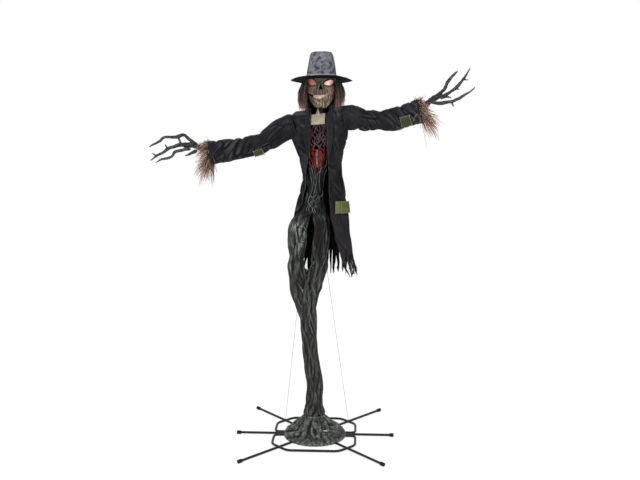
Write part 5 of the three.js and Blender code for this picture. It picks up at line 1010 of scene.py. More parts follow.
def makeCoat():
    luck = np.random.default_rng(41)
    grid, neck = (coat["columns"], coat["levels"]), coat["neck"]
    u, v = (np.linspace(0, 1, count) for count in grid)
    rise = hemRise(u, luck) / coat["rise"]
    share = np.minimum(v[:, None] + (1 - v[:, None]) ** 5 * rise[None, :], 1)
    right, left = frontAngles(share)
    angle = right * (1 - u) + (left - 2 * math.pi) * u
    flat = coatPlace(share, angle).reshape(-1, 3)
    outward = unit(coatPlace(share, angle, 0.01).reshape(-1, 3) - flat)
    ridge = (np.sin(angle * 9 + 3 * share) * 0.007 * (1 - share) ** 0.7).ravel()
    below = 1 - share.ravel()
    soft = 0.013 * noiseAt(flat, (7, 7, 3.2), 3.0) + 0.009 * noiseAt(flat, (20, 20, 5), 9.0)
    creases = np.abs(noiseAt(flat + np.outer(flat[:, 2], (0.4, 0, 0)), (13, 13, 5), 21.0))
    lift = ridge + soft * (0.35 + 0.65 * below) - 0.010 * np.exp(-creases * 14)
    lift = lift * np.clip(below * 14, 0.15, 1)
    points = flat + outward * lift[:, None]
    kept = []
    for face in (f[::-1] for f in gridFaces(grid[1], grid[0], around=False)):
        middle = points[list(face)].mean(axis=0)
        if not (middle[2] > neck["above"] and math.hypot(middle[0] - neck["x"], middle[1]) < neck["radius"]):
            kept.append(face)
    piece = sheetPiece("coatBody", points, kept, grid, (1.3, coat["rise"]), ("coatCloth", "coatLining"),
                       coat["cloth"], ridge=(12, 0.0028))
    flat = places(piece)
    low = np.clip((1.62 - flat[:, 2]) / 0.3, 0, 1) * np.clip(0.5 + 9 * flat[:, 0], 0, 1)
    giveValues(piece, "stain", np.clip(low * (0.65 + 0.8 * noiseAt(flat, (9, 9, 4), 13.0)), 0, 1))
    return piece


def clothArea(piece):
    # half the finished mesh's surface.
    return sum(p.area for p in piece.data.polygons) / 2


def makeLapel(name, edge, side, seed):
    # the turned-back front edge, widest at the chest
    lapel, columns, levels = coat["lapel"], 16, 70
    v = np.linspace(0, 1, levels)
    share = (lapel["low"] + (lapel["high"] - lapel["low"]) * v)[:, None] * np.ones(columns)
    across = np.linspace(0, 1, columns)[None, :]
    profile = np.interp(v, lapel["shares"], lapel["widths"])[:, None]
    x = edgeX(coat["hem"] + coat["rise"] * share, edge) + side * lapel["width"] * profile * across
    lift = 0.0055 + 0.004 * np.sin(math.pi * across) + 0.0025 * across
    points = coatPlace(share, frontAngle(share, x), lift).reshape(-1, 3)
    points = points + np.outer(0.0025 * noiseAt(points, (26, 26, 12), seed), (0, -1, 0))
    faces = [f[::side] for f in gridFaces(levels, columns, around=False)]
    return sheetPiece(name, points, faces, (columns, levels), (lapel["width"], lapel["length"]),
                      ("lapelCloth", "coatLining"), lapel["cloth"], ridge=(8, 0.002))


def makeCollar():
    # stands round the neck, turned over at the top, open in front
    look, columns, levels = coat["collar"], 150, 34
    angle = np.linspace(-look["open"], look["open"], columns)[None, :]
    up = np.linspace(0, 1, levels)[:, None]
    rows = lineThrough(look["rows"], levels)
    radius, z = rows[:, :1], rows[:, 1:]
    front = np.clip((np.abs(angle) - look["frontStart"]) / look["frontReach"], 0, 1)
    radius = radius + 0.004 * np.sin(5 * angle + 1) * up ** 2
    x = look["x"] + radius * np.sin(angle)
    y = look["y"] + radius * np.cos(angle)
    drop = look["frontDrop"] * front * np.linspace(0.2, 1, levels)[:, None]
    z = z - drop + coat["tilt"] * (x - look["x"]) + 0.002 * np.sin(11 * angle)
    points = np.stack([x, y, z], axis=-1).reshape(-1, 3)
    swing = (0.03 * noiseAt(points, (30, 30, 30), 6.0))[:, None]
    points = points + (points - (look["x"], 0, look["z"])) * swing
    return sheetPiece("coatCollar", points, gridFaces(levels, columns, around=False), (columns, levels),
                      look["map"], ("lapelCloth", "coatLining"), look["cloth"], 0, (8, 0.002))


def makeHemThreads():
    # loose threads at the torn hem, from points on the lowest edge of the coat
    luck, look = np.random.default_rng(44), coat["threads"]
    spots = places(coatPiece)
    low = spots[spots[:, 2] < look["below"]]
    lines, girths = [], []
    for start in low[luck.choice(len(low), look["count"], replace=False)]:
        length = luck.uniform(*look["length"])
        t = np.linspace(0, 1, 6)
        swing = np.outer(np.sin(t * luck.uniform(2, 6)) * 0.004, luck.normal(0, 1, 3))
        lines.append(start + np.outer(t * length, (luck.normal(0, 0.15), luck.normal(0, 0.15), -1)) + swing)
        girths.append(np.interp(t, [0, 1], [1, 0.4]) * luck.uniform(0.6, 1.2))
    return strandsFrom("hemThreads", lines, girths, None, "threadBlack", look["thick"])


coatPiece = makeCoat()
stand(coatPiece, "stand", "coat_cloth", "coat_body")
stand(makeHemThreads(), "stand", "coat_cloth")
print("coat made, cloth", round(clothArea(coatPiece), 3))
for title, edge, side, seed in (("lapelRight", "rightEdge", -1, 51.0), ("lapelLeft", "leftEdge", 1, 52.0)):
    lapel = stand(makeLapel(title, coat[edge], side, seed), "stand", "coat_cloth")
    print(title, round(clothArea(lapel), 4))
collar = stand(makeCollar(), "stand", "coat_cloth")
print("collar", round(clothArea(collar), 4))


# sleeves, hands, straw and arm patches; rows are shares of the reach and of the radius
arms = {
    "right": {
        "shoulder": (-0.15, 0, 1.992), "side": -1, "patch": (0.56, 0.65, 0.27, 0.41),
        "rows": [[.05, 0, .01, .98], [-.016, 0, -.01, 1.02], [-.115, 0, -.058, 1], [-.245, 0, -.143, .93],
                 [-.376, 0, -.212, .83], [-.535, 0, -.247, .87], [-.81, 0, -.298, .96], [-1, 0, -.325, 1]],
        "start": (-0.135, 0, 1.99), "end": (-0.2, 0, 1.965),
        "hand": {
            "cuff": (-0.66, 0, 1.826),
            "wrist": [[-.02, 0, 0, 1.5], [.1, 0, .06, 1.5], [.24, 0, .13, 1.7], [.36, -.02, .14, 1.5],
                      [.46, -.02, .14, 1]],
            "fingers": [
                [[.2, 0, .14, 1], [.32, -.02, .23, 1], [.4, -.04, .3, 1], [.53, -.05, .27, 1.1],
                 [.73, -.06, .26, .9], [.8, -.06, .2, .8], [.93, -.05, .14, .6], [.99, -.04, .1, .3]],
                [[.3, 0, .1, 1.2], [.46, 0, .14, 1.2], [.6, .01, .1, 1], [.69, .02, .07, 1],
                 [.77, .02, .01, .9], [.89, .01, -.05, .7], [.99, 0, -.13, .3]],
                [[.3, -.05, .08, 1], [.45, -.08, .05, 1], [.55, -.09, .02, .9], [.59, -.09, -.04, .8],
                 [.67, -.09, -.08, .8], [.78, -.08, -.1, .6], [.88, -.07, -.16, .3]],
                [[.2, -.05, .04, 1.1], [.28, -.08, 0, .9], [.37, -.11, -.04, .4]],
                [[.5, -.045, .27, .7], [.47, -.03, .18, .7], [.45, -.02, .13, .7]],
                [[.69, .02, .07, .7], [.74, .02, .14, .3]],
                [[.88, .01, -.05, .6], [.96, .01, 0, .25]],
            ],
        },
    },
    "left": {
        "shoulder": (0.205, 0, 2.045), "side": 1, "patch": (0.81, 0.89, 0.5, 0.68),
        "rows": [[-.05, 0, -.01, .98], [.016, 0, 0, 1.02], [.11, 0, -.01, .96], [.21, 0, -.037, .8],
                 [.357, 0, -.031, .84], [.5, 0, -.025, .9], [.678, 0, .01, .98], [.882, 0, .084, 1.04]],
        "start": (0.19, 0, 2.045), "end": (0.255, 0, 2.04),
        "hand": {
            "cuff": (0.655, 0, 2.088),
            "wrist": [[-.02, 0, -.03, 1.5], [.05, 0, .06, 1.5], [.13, 0, .15, 1.7], [.24, 0, .21, 1.7],
                      [.33, -.02, .24, 1.2]],
            "fingers": [
                [[.24, 0, .23, 1.1], [.35, .01, .33, 1.1], [.39, .02, .4, .9], [.42, .02, .47, 1],
                 [.51, .02, .57, .8], [.57, .01, .63, .3]],
                [[.3, -.02, .2, 1.1], [.46, -.04, .3, 1], [.54, -.05, .36, 1], [.6, -.05, .43, .9],
                 [.65, -.05, .49, .8], [.7, -.05, .57, .6], [.76, -.04, .67, .3]],
                [[.14, -.04, .14, 1], [.24, -.08, .11, 1.1], [.35, -.1, .12, 1.1], [.47, -.1, .14, 1],
                 [.57, -.1, .18, .9], [.7, -.09, .26, .7], [.78, -.08, .31, .5], [.84, -.07, .37, .3]],
                [[.3, 0, .2, .9], [.4, .01, .22, .7], [.47, .01, .2, .3]],
                [[.53, -.05, .35, .6], [.59, -.05, .33, .25]],
                [[.65, -.05, .49, .6], [.73, -.05, .48, .25]],
                [[.46, -.1, .14, .7], [.5, -.13, .06, .3]],
            ],
        },
    },
}
sleeveLook = {"reach": 0.51, "radius": 0.072, "grid": (110, 170), "cloth": 0.004, "map": (0.44, 0.56)}
handLook = {
    "reach": 0.375, "radius": 0.010, "thinnest": 0.0014, "points": 34, "twigs": 3, "twig": 0.42, "voxel": 0.0017,
}
strawLook = {
    "strands": 420, "thick": 0.0013, "length": (0.045, 0.1), "rim": (0.035, 0.062), "deep": (0.005, 0.03),
}
armPatch = {"grid": (30, 30), "cloth": 0.0018, "lift": 0.0035, "seamLift": 0.0062}


def armLine(arm, count):
    rows = lineThrough(arm["rows"], count)
    return np.array(arm["shoulder"]) + rows[:, :3] * sleeveLook["reach"], rows[:, 3]


def sleeveSurface(arm, seed, share, turn, lift=0.0):
    # a point of the creased sleeve: share of its length, turns from its rear
    line, girth = armLine(arm, steps)
    place = share * (steps - 1)
    tables = (line, *sideways(line, (0, 1, 0)))
    middle, one, two = (np.stack(columnsAt(place, table), axis=-1) for table in tables)
    radius = np.interp(place, range(steps), girth) * sleeveLook["radius"] + lift
    angle = 2 * math.pi * turn
    outward = one * np.cos(angle)[:, None] + two * np.sin(angle)[:, None]
    where = middle + outward * radius[:, None] + seed
    slanted = where + np.outer(where[:, 2], (0.8 * arm["side"], 0, 0))
    creases = np.abs(noiseAt(slanted, (11, 6, 6), seed))
    ends = np.interp(share, [0, 0.1, 0.4, 0.75, 1], [1, 1, 0.4, 0.5, 1])
    gathers = np.abs(noiseAt(slanted, (26, 9, 9), seed + 2)) * ends
    folds = 0.008 * noiseAt(where, (11, 8, 8), seed + 4) - 0.012 * np.exp(-creases * 9)
    folds = folds - 0.0035 * np.exp(-gathers * 8) + 0.005
    folds = folds * np.clip(share * 14, 0.1, 1) * np.clip((1 - share) * 18, 0.25, 1)
    return middle + outward * (radius + folds)[:, None]


def sleeveSheet(name, arm, seed, box, grid, finish, cloth, lift=0.0, closed=False):
    # a sheet over part of the sleeve; box is share low and high, turn low and high
    columns, levels = grid
    share = np.repeat(np.linspace(box[0], box[1], levels), columns)
    turn = np.tile(np.linspace(box[2], box[3], columns, endpoint=not closed), levels)
    size = sleeveLook["map"][0] * (box[3] - box[2]), sleeveLook["map"][1] * (box[1] - box[0])
    points = sleeveSurface(arm, seed, share, turn, lift)
    faces = gridFaces(levels, columns, closed)
    return sheetPiece(name, points, faces, grid, size, finish, cloth, ridge=(10, 0.0022))


def stitched(name, lines):
    values = {"Spacing": 0.008, "Length": 0.009, "Thickness": 0.0008, "Slant": 0.9}
    return grownFrom(guideLines(name, lines), stitchTree, "threadPale", **values)


def makeHand(name, arm, seed):
    # every branch has thin twigs wound round it, and all of them grow together
    luck = np.random.default_rng(seed)
    hand, look = arm["hand"], handLook
    count = look["points"]
    parts = []
    for number, rows in enumerate([hand["wrist"], *hand["fingers"]]):
        rows = lineThrough(rows, count)
        reach = (look["reach"] * arm["side"], look["reach"], look["reach"])
        line = np.array(hand["cuff"]) + rows[:, :3] * reach + luck.normal(0, 0.0008, (count, 3))
        radii = rows[:, 3] * look["radius"]
        knots = 1 + 0.10 * np.sin(np.linspace(0, 1, count) * luck.uniform(14, 26) + number)
        parts.append(tubeAround(line, np.maximum(radii * knots, look["thinnest"]), 12, across=(0, 1, 0)))
        for k in range(look["twigs"]):
            turn = luck.uniform(0, 6.28) + np.linspace(0, luck.uniform(1.5, 3.5), count)
            offset = squareTo(line, (0, 1, 0), turn) * (radii * 0.72)[:, None]
            parts.append(tubeAround(line + offset, np.maximum(radii * look["twig"], 0.001), 8, across=(0, 1, 0)))
    points, faces = together(parts)
    piece = grown(newPiece(name, points, faces), look["voxel"])
    points = places(piece)
    rough = noiseAt(points, (160, 160, 160), seed) + 0.6 * noiseAt(points, (420, 420, 420), seed)
    moveTo(piece, points + normals(piece) * (0.0006 * rough)[:, None])
    markRidges(piece, 10, 0.0013)
    return dress(piece, "handBark")


def makeStraw(name, arm, seed):
    # bunches of straw that burst out of the sleeve's end and droop
    luck, look = np.random.default_rng(seed), strawLook
    line, _ = armLine(arm, 60)
    end, ahead = line[-1], directions(line)[-1]
    one, two = (side[-1] for side in sideways(line, (0, 1, 0)))
    t = np.linspace(0, 1, 8)
    thinning = np.interp(t, [0, 0.3, 0.8, 1], [0.9, 1.1, 0.8, 0.25])
    lines, girths, tones = [], [], []
    for k in range(look["strands"]):
        turn = luck.uniform(0, 2 * math.pi)
        rim = one * math.cos(turn) + two * math.sin(turn)
        root = end - ahead * luck.uniform(*look["deep"]) + rim * luck.uniform(*look["rim"])
        burst = luck.uniform(0.15, 0.85)
        way = ahead * luck.uniform(0.2, 1.0) + rim * burst + luck.normal(0, 0.18, 3)
        way /= np.linalg.norm(way)
        length = luck.uniform(*look["length"]) * (1.3 if rim[2] < -0.2 else 1)
        droop = np.array([0, 0, -1]) * luck.uniform(0.4, 1.0)
        curl = luck.normal(0, 0.10, 3)
        lines.append(root + length * (way * t[:, None] + (droop + curl) * t[:, None] ** 2 * 0.7))
        girths.append(thinning * luck.uniform(0.6, 1.3))
        tones.append(luck.uniform())
    return strandsFrom(name, lines, girths, tones, "strawTan", look["thick"])


for title, arm in arms.items():
    body = title + "_arm"
    seed = 1.0 if title == "right" else 2.0
    sleeve = sleeveSheet(title + "Sleeve", arm, seed, (0, 1, 0, 1), sleeveLook["grid"],
                         ("coatCloth", "coatLining"), sleeveLook["cloth"], closed=True)
    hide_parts("sleeve_" + title)
    print(title, "sleeve", round(clothArea(sleeve), 4))
    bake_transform(sleeve)
    stand(makeHand(title + "Hand", arm, int(60 + seed)), body, "hand_bark", "hand_" + title)
    stand(makeStraw(title + "Straw", arm, int(70 + seed)), body, "straw", "straw_cuff_" + title)
    box = arm["patch"]
    patch = sleeveSheet(title + "ArmPatch", arm, seed, box, armPatch["grid"], ("armCloth",), armPatch["cloth"],
                        armPatch["lift"])
    stand(patch, body, "patch_cloth")
    print(title, "patch", round(clothArea(patch), 5))
    t, (low, high, near, far) = np.linspace(0, 1, 16), box
    rim = [(end + 0 * t, near + (far - near) * t) for end in (low, high)]
    rim += [(low + (high - low) * t, end + 0 * t) for end in (near, far)]
    seams = [sleeveSurface(arm, seed, share, turn, armPatch["seamLift"]) for share, turn in rim]
    stand(stitched(title + "ArmStitches", seams), body, "patch_cloth")
print("arms made")


# the mask: rows are [height, half width, half depth, forward shift], outlines are shares of half
head = {
    "x": 0.042, "half": 0.09, "bottom": 2.102, "top": 2.328, "pivotZ": 2.206, "wall": 0.004,
    "rim": 2.3275, "rearLow": 2.137, "sideAngle": 1.76, "jawAngle": 1.5, "gap": 0.02, "jawGap": 0.0005,
    "rows": [[0, .26, .24, .5], [.045, .46, .4, .42], [.13, .62, .58, .28], [.26, .8, .76, .13],
             [.42, .94, .9, .05], [.6, 1, .97, 0], [.78, .98, .96, 0], [.9, .84, .84, 0], [.97, .6, .6, 0],
             [1, .3, .3, 0]],
    "rightEye": [[-.86, .7], [-.54, .72], [-.34, .5], [-.33, .37], [-.68, .36], [-.83, .5]],
    "leftEye": [[.22, .46], [.33, .57], [.64, .7], [.79, .63], [.77, .49], [.58, .33], [.3, .36]],
    "nose": [[-.02, .43], [-.13, .07], [.13, .07]],
    "grin": [[-1.0, .14], [-.86, -.08], [-.62, -.3], [-.1, -.42], [.36, -.3], [.6, -.1], [.74, .12]],
    "upperLip": [[-2.2, -.04], [-1.08, -.04], [-.8, -.2], [-.52, -.3], [-.09, -.32], [.3, -.27],
                 [.49, -.2], [.64, -.04], [2.2, -.04]],
    "lowerLip": [[-2.2, -.057], [-1.1, -.057], [-.86, -.28], [-.68, -.42], [-.37, -.51], [-.09, -.56],
                 [.2, -.46], [.46, -.34], [.67, -.057], [2.2, -.057]],
}
headTable = lineThrough(head["rows"], 80)


def headPlace(z, angle, lift=0.0):
    share = (z - head["bottom"]) / (head["top"] - head["bottom"])
    wide, deep, shift = (np.interp(share, headTable[:, 0], headTable[:, k]) for k in (1, 2, 3))
    x = head["x"] + (head["half"] * wide + lift) * np.sin(angle)
    y = -head["half"] * shift - (head["half"] * deep + lift) * np.cos(angle)
    return np.stack([x, y, z + 0 * x], axis=-1)


def faceLine(shares):
    return np.array(shares) * head["half"] + (head["x"], head["pivotZ"])


def nearestOn(x, z, start, end):
    # the point nearest to each x and z on a straight piece of line, and how far off it is
    (ax, az), (wide, high) = start, end - start
    t = np.clip(((x - ax) * wide + (z - az) * high) / (wide**2 + high**2), 0, 1)
    px, pz = ax + t * wide, az + t * high
    return px, pz, np.hypot(x - px, z - pz)


def outlineDistance(x, z, outline):
    # distance from points in the front view to a closed outline, and whether they lie inside
    best, inside = np.full(x.shape, 9.0), np.zeros(x.shape, bool)
    nearest = np.zeros(x.shape + (2,))
    for start, end in zip(outline, np.roll(outline, -1, axis=0)):
        px, pz, gap = nearestOn(x, z, start, end)
        (ax, az), (bx, bz) = start, end
        closer = gap < best
        best = np.where(closer, gap, best)
        nearest[closer] = np.stack([px, pz], axis=-1)[closer]
        crosses = ((az > z) != (bz > z)) & (x < (bx - ax) * (z - az) / (bz - az + 1e-12) + ax)
        inside ^= crosses
    return best, inside, nearest


def smoothOutline(outline, count=60):
    ring = np.vstack([outline, outline[:1]])
    return lineThrough(ring, count)[:-1]


eyeOutlines = [smoothOutline(faceLine(head[title])) for title in ("rightEye", "leftEye")]
noseOutline = faceLine(head["nose"])
crackWidth = 0.0026
crackLines = [
    # forehead, cheeks, upper lip and chin, in shares of the half width from the pivot's height
    [[-.02, 1.2], [-.03, .9], [.0, .6]], [[-.2, 1.2], [-.22, .95], [-.17, .72]],
    [[.2, 1.2], [.22, .92], [.14, .66]], [[-.42, 1.15], [-.45, .98], [-.4, .8]],
    [[.42, 1.15], [.46, .95], [.4, .74]], [[-.66, 1.05], [-.7, .9], [-.62, .78]],
    [[.66, 1.05], [.7, .9], [.66, .76]], [[-.1, .55], [-.2, .45], [-.22, .25], [-.3, .1]],
    [[.1, .55], [.17, .4], [.18, .25], [.28, .1]], [[-.08, .02], [-.1, -.15], [-.08, -.3]],
    [[.08, .02], [.1, -.12], [.09, -.28]], [[-.26, .06], [-.3, -.1], [-.28, -.3]],
    [[.26, .06], [.3, -.1], [.27, -.26]], [[-.44, .08], [-.48, -.1], [-.48, -.3]],
    [[.42, .08], [.44, -.05], [.42, -.2]], [[-.6, .12], [-.66, -.05], [-.7, -.24]],
    [[-.84, .3], [-.82, .1], [-.9, -.1]], [[.74, .3], [.72, .1], [.64, -.04]],
    [[-.09, -.56], [-.1, -.8], [-.06, -1.0]], [[.12, -.5], [.13, -.75], [.12, -.95]],
    [[-.3, -.54], [-.31, -.75], [-.26, -.95]], [[.32, -.42], [.33, -.65], [.3, -.85]],
    [[-.5, -.5], [-.5, -.7], [-.44, -.85]], [[.52, -.34], [.5, -.5], [.46, -.7]],
    [[-.7, -.42], [-.66, -.6], [-.6, -.72]], [[0, .6], [-.03, .45], [-.02, .4]],
]


def crackDepth(x, z):
    deep = np.zeros(x.shape)
    for rows in crackLines:
        line = lineThrough(faceLine(rows), 12)
        for start, end in zip(line[:-1], line[1:]):
            gap = nearestOn(x, z, start, end)[2]
            deep = np.maximum(deep, np.exp(-(gap / crackWidth) ** 2))
    return deep


def skinDetail(points, front):
    # how far the skin stands out, and how dark it is in its cracks and grooves and in the painted shade round the
    # eye and nose holes; front is 1 on the face and 0 behind
    x, z = points[:, 0], points[:, 2]
    wobble = 0.006 * noiseAt(points, (45, 45, 38), 5.0)
    crackAndRimShade = crackDepth(x + wobble, z + wobble) * front * np.where(z < 2.172, 0.72, 1)
    angle = np.arctan2(x - head["x"], -points[:, 1])
    ribs = 0.5 + 0.5 * np.cos(26 * angle + 4 * noiseAt(points, (20, 20, 12), 8.0))
    back = (1 - front) * (1 - ribs) ** 3
    out = 0.0012 * ribs - 0.0032 * crackAndRimShade - 0.0016 * back + 0.001 * noiseAt(points, (90, 90, 60))
    if front.any():
        # painted shade: dark rims round the eye and nose holes
        for outline in eyeOutlines:
            gap, _, _ = outlineDistance(x, z, outline)
            out = out + 0.0045 * np.exp(-((gap - 0.004) / 0.005) ** 2) * front
            crackAndRimShade = np.maximum(crackAndRimShade, np.exp(-(gap / 0.0085) ** 4) * front)
        gap, _, _ = outlineDistance(x, z, noseOutline)
        out = out + 0.003 * np.exp(-((gap - 0.003) / 0.005) ** 2) * front
        crackAndRimShade = np.maximum(crackAndRimShade, 0.8 * np.exp(-(gap / 0.003) ** 2) * front)
    aside = np.abs(x - head["x"])
    cheeks = 0.0075 * np.exp(-((aside - 0.058) / 0.024) ** 2 - ((z - 2.205) / 0.02) ** 2) * front
    brow = 0.006 * np.exp(-((z - 2.276 - 0.12 * aside) / 0.009) ** 2) * front
    return out + cheeks + brow, np.clip(np.maximum(crackAndRimShade, 0.8 * back), 0, 1)


def skinTint(points):
    # brown skin, a yellow chin that is dimmer on its low-x side, pink cheeks with a painted highlight on the high-x
    # cheek, and pink lips
    x, z = points[:, 0], points[:, 2]
    clouds = noiseAt(points, (38, 38, 38), 11.0)
    chin = np.clip((2.176 - z) / 0.02 + 0.6 * clouds, 0, 1)[:, None]
    cheekBlushAndHighlight = np.exp(-((np.abs(x - head["x"]) - 0.06) / 0.03) ** 2 - ((z - 2.205) / 0.03) ** 2)[:, None]
    fine = noiseAt(points, (110, 110, 70), 19.0)
    base = np.array([0.085, 0.062, 0.04]) * (1 + 0.9 * clouds + 0.9 * fine)[:, None]
    yellow = np.array([0.24, 0.186, 0.105]) * (1 + 0.8 * clouds + 1.1 * fine)[:, None]
    dim = (1 - 0.6 * np.clip((head["x"] - 0.018 - x) / 0.03, 0, 1))[:, None]
    tint = base * (1 - chin) + yellow * chin * dim
    # painted highlight: the high-x cheek takes far more of the pale pink, as if lit; the low-x share is the blush
    # itself
    side = np.where(x > head["x"], 0.85, 0.3)[:, None]
    tint = tint * (1 - side * cheekBlushAndHighlight) + side * cheekBlushAndHighlight * np.array([0.33, 0.19, 0.135])
    lips = faceLine(head["grin"])
    gap = np.min([np.hypot(x - ax, z - az) for ax, az in lineThrough(lips, 60)], axis=0)
    lip = np.exp(-(gap / 0.0055) ** 2)[:, None] * np.clip(-points[:, 1:2] / 0.03, 0, 1)
    tint = tint * (1 - 0.7 * lip) + 0.7 * lip * np.array([0.34, 0.17, 0.125])
    return np.hstack([np.clip(tint, 0, 1), np.ones((len(x), 1))])


def skinPiece(name, low, high, start, end, columns, levels, holes=()):
    # a patch of the head between two heights that may change with the angle
    u, v = np.linspace(start, end, columns), np.linspace(0, 1, levels)
    angle = np.repeat(u[None, :], levels, axis=0)
    bottom, top = low(u), high(u)
    z = bottom[None, :] + (top - bottom)[None, :] * v[:, None]
    points = headPlace(z, angle).reshape(-1, 3)
    keep = gridFaces(levels, columns, around=False)
    for outline in holes:
        _, inside, _ = outlineDistance(points[:, 0], points[:, 2], outline)
        ahead = points[:, 1] < 0
        gone = inside & ahead
        keep = [f for f in keep if sum(gone[i] for i in f) < 2]
        used = np.zeros(len(points), int)
        for f in keep:
            used[list(f)] += 1
        gap, _, nearest = outlineDistance(points[:, 0], points[:, 2], outline)
        rim = ahead & (used > 0) & (used < 4) & (gap < 0.003)
        points[rim, 0], points[rim, 2] = nearest[rim, 0], nearest[rim, 1]
    front = np.clip(-points[:, 1] / 0.03, 0, 1)
    out, crackAndRimShade = skinDetail(points, front)
    outward = (points - (head["x"], 0, 0)) * (1, 1, 0)
    piece = newPiece(name, points + unit(outward) * out[:, None], keep)
    giveValues(piece, "crackAndRimShade", crackAndRimShade)
    tint = piece.data.attributes.new("tint", "FLOAT_COLOR", "POINT")
    tint.data.foreach_set("color", skinTint(points).ravel())
    dress(piece, "maskSkin")
    return thickened(piece, head["wall"])


def lipHeight(title):
    # the height of a lip at each angle round the head, found by going back and forth
    line = faceLine(head[title])
    def height(angles):
        z = np.full(angles.shape, 2.19)
        for _ in range(12):
            z = np.interp(headPlace(z, angles)[..., 0], line[:, 0], line[:, 1])
        return z
    return height


def level(z):
    return lambda angles: np.full(angles.shape, z)


sideAngle, jawAngle = head["sideAngle"], head["jawAngle"]
rearAngles = (sideAngle + head["gap"], 2 * math.pi - sideAngle - head["gap"])
face = skinPiece("faceMask", lipHeight("upperLip"), level(head["rim"]), -sideAngle, sideAngle, 240, 150,
                 [*eyeOutlines, noseOutline])
stand(face, "head", "mask_skin", "face_shell")
jaw = skinPiece("jawMask", level(head["bottom"] + head["jawGap"]), lipHeight("lowerLip"), -jawAngle, jawAngle,
                220, 90)
stand(jaw, "jaw", "mask_skin", "jaw_shell")
rear = skinPiece("skullRear", level(head["rearLow"]), level(head["rim"]), *rearAngles, 160, 90)
stand(rear, "head", "mask_skin", "skull_rear")
print("mask made")


# the hat: crown rows are [height, share of the radius]
hat = {
    "x": 0.042, "brimHalfWidth": 0.187, "brimHalfDepth": 0.165, "brimZ": 2.28, "top": 2.44, "crown": 0.0935,
    "depth": 0.98, "frontRise": 0.017, "sideDroop": 0.007, "edgeDroop": 0.003, "wall": 0.003, "columns": 150,
    "crownRows": [[0, 1], [.2, .965], [.45, .9], [.75, .8], [.9, .735], [.965, .66], [.992, .55], [1, .4]],
}


def makeHat():
    # one sheet of felt, from the brim's edge up to the crown's top
    columns = hat["columns"]
    angle = np.linspace(0, 2 * math.pi, columns, endpoint=False)
    notches = 0.009 * np.sin(13 * angle + 1) + 0.007 * np.sin(29 * angle) + 0.005 * np.sin(53 * angle)
    crownDepth = hat["crown"] * hat["depth"]
    rings = []
    for share in np.linspace(1, 0, 34):
        halfWidth = hat["crown"] + (hat["brimHalfWidth"] - hat["crown"]) * share
        halfDepth = crownDepth + (hat["brimHalfDepth"] - crownDepth) * share
        ragged = 1 + share**6 * notches
        x = halfWidth * np.sin(angle) * ragged
        y = -halfDepth * np.cos(angle) * ragged
        turned = hat["frontRise"] * np.cos(angle) - hat["sideDroop"] * np.sin(angle) ** 2
        wave = 0.0018 * np.cos(3 * angle + 2.6) + 0.0012 * np.sin(5 * angle + 2)
        bend = np.interp(share, [0, 0.04, 0.5, 1], [0, 0, 0.36, 1])
        z = hat["brimZ"] + bend * (turned - wave - hat["edgeDroop"])
        rings.append(np.stack([hat["x"] + x, y, z], axis=1))
    crown = lineThrough(hat["crownRows"], 60)
    for height, share in crown[1:]:
        dent = 1 + 0.012 * np.sin(3 * angle + 5 * height) + 0.008 * np.sin(7 * angle + 2)
        radius = hat["crown"] * share * dent
        z = hat["brimZ"] + (hat["top"] - hat["brimZ"]) * height + 0 * angle
        x, y = hat["x"] + radius * np.sin(angle), -radius * hat["depth"] * np.cos(angle)
        rings.append(np.stack([x, y, z], axis=1))
    last = rings[-1]
    for share in (0.75, 0.5, 0.25, 0.08):
        ring = last * share + (1 - share) * np.array([hat["x"], 0, last[0, 2]])
        ring[:, 2] = last[0, 2] - 0.004 * (1 - share)
        rings.append(ring)
    points = np.vstack(rings)
    faces = gridFaces(len(rings), columns)
    middle = len(points)
    points = np.vstack([points, [hat["x"], 0, points[-1][2]]])
    start = (len(rings) - 1) * columns
    faces += [(start + c, start + (c + 1) % columns, middle) for c in range(columns)]
    soft = 0.0016 * noiseAt(points, (16, 16, 16), 2.0)
    points = points + np.outer(soft, (0.6, 0.6, 0.4))
    piece = newPiece("hatFelt", points, faces)
    foot = np.abs(points[:, 2] - hat["brimZ"] - 0.012) / 0.011
    near = np.hypot(points[:, 0] - hat["x"], points[:, 1]) < hat["crown"] * 1.04
    giveValues(piece, "band", np.where(near, np.clip(1.3 - foot, 0, 0.85), 0))
    # the inner face gets the near-black felt: painted shade under the brim
    dress(piece, "feltGrey", "feltUnderShade")
    return thickened(piece, hat["wall"], lining=1)


stand(makeHat(), "head", "hat_felt", "hat")


# hair hangs from under the hat; start and end are angles from the front
hair = {
    "start": 0.96, "end": 2.9, "bandTop": 2.258, "root": 0.096, "flare": 0.145, "bottom": 2.122, "drop": 0.07,
    "shoulder": 0.12, "strands": 640, "thick": 0.0014,
}


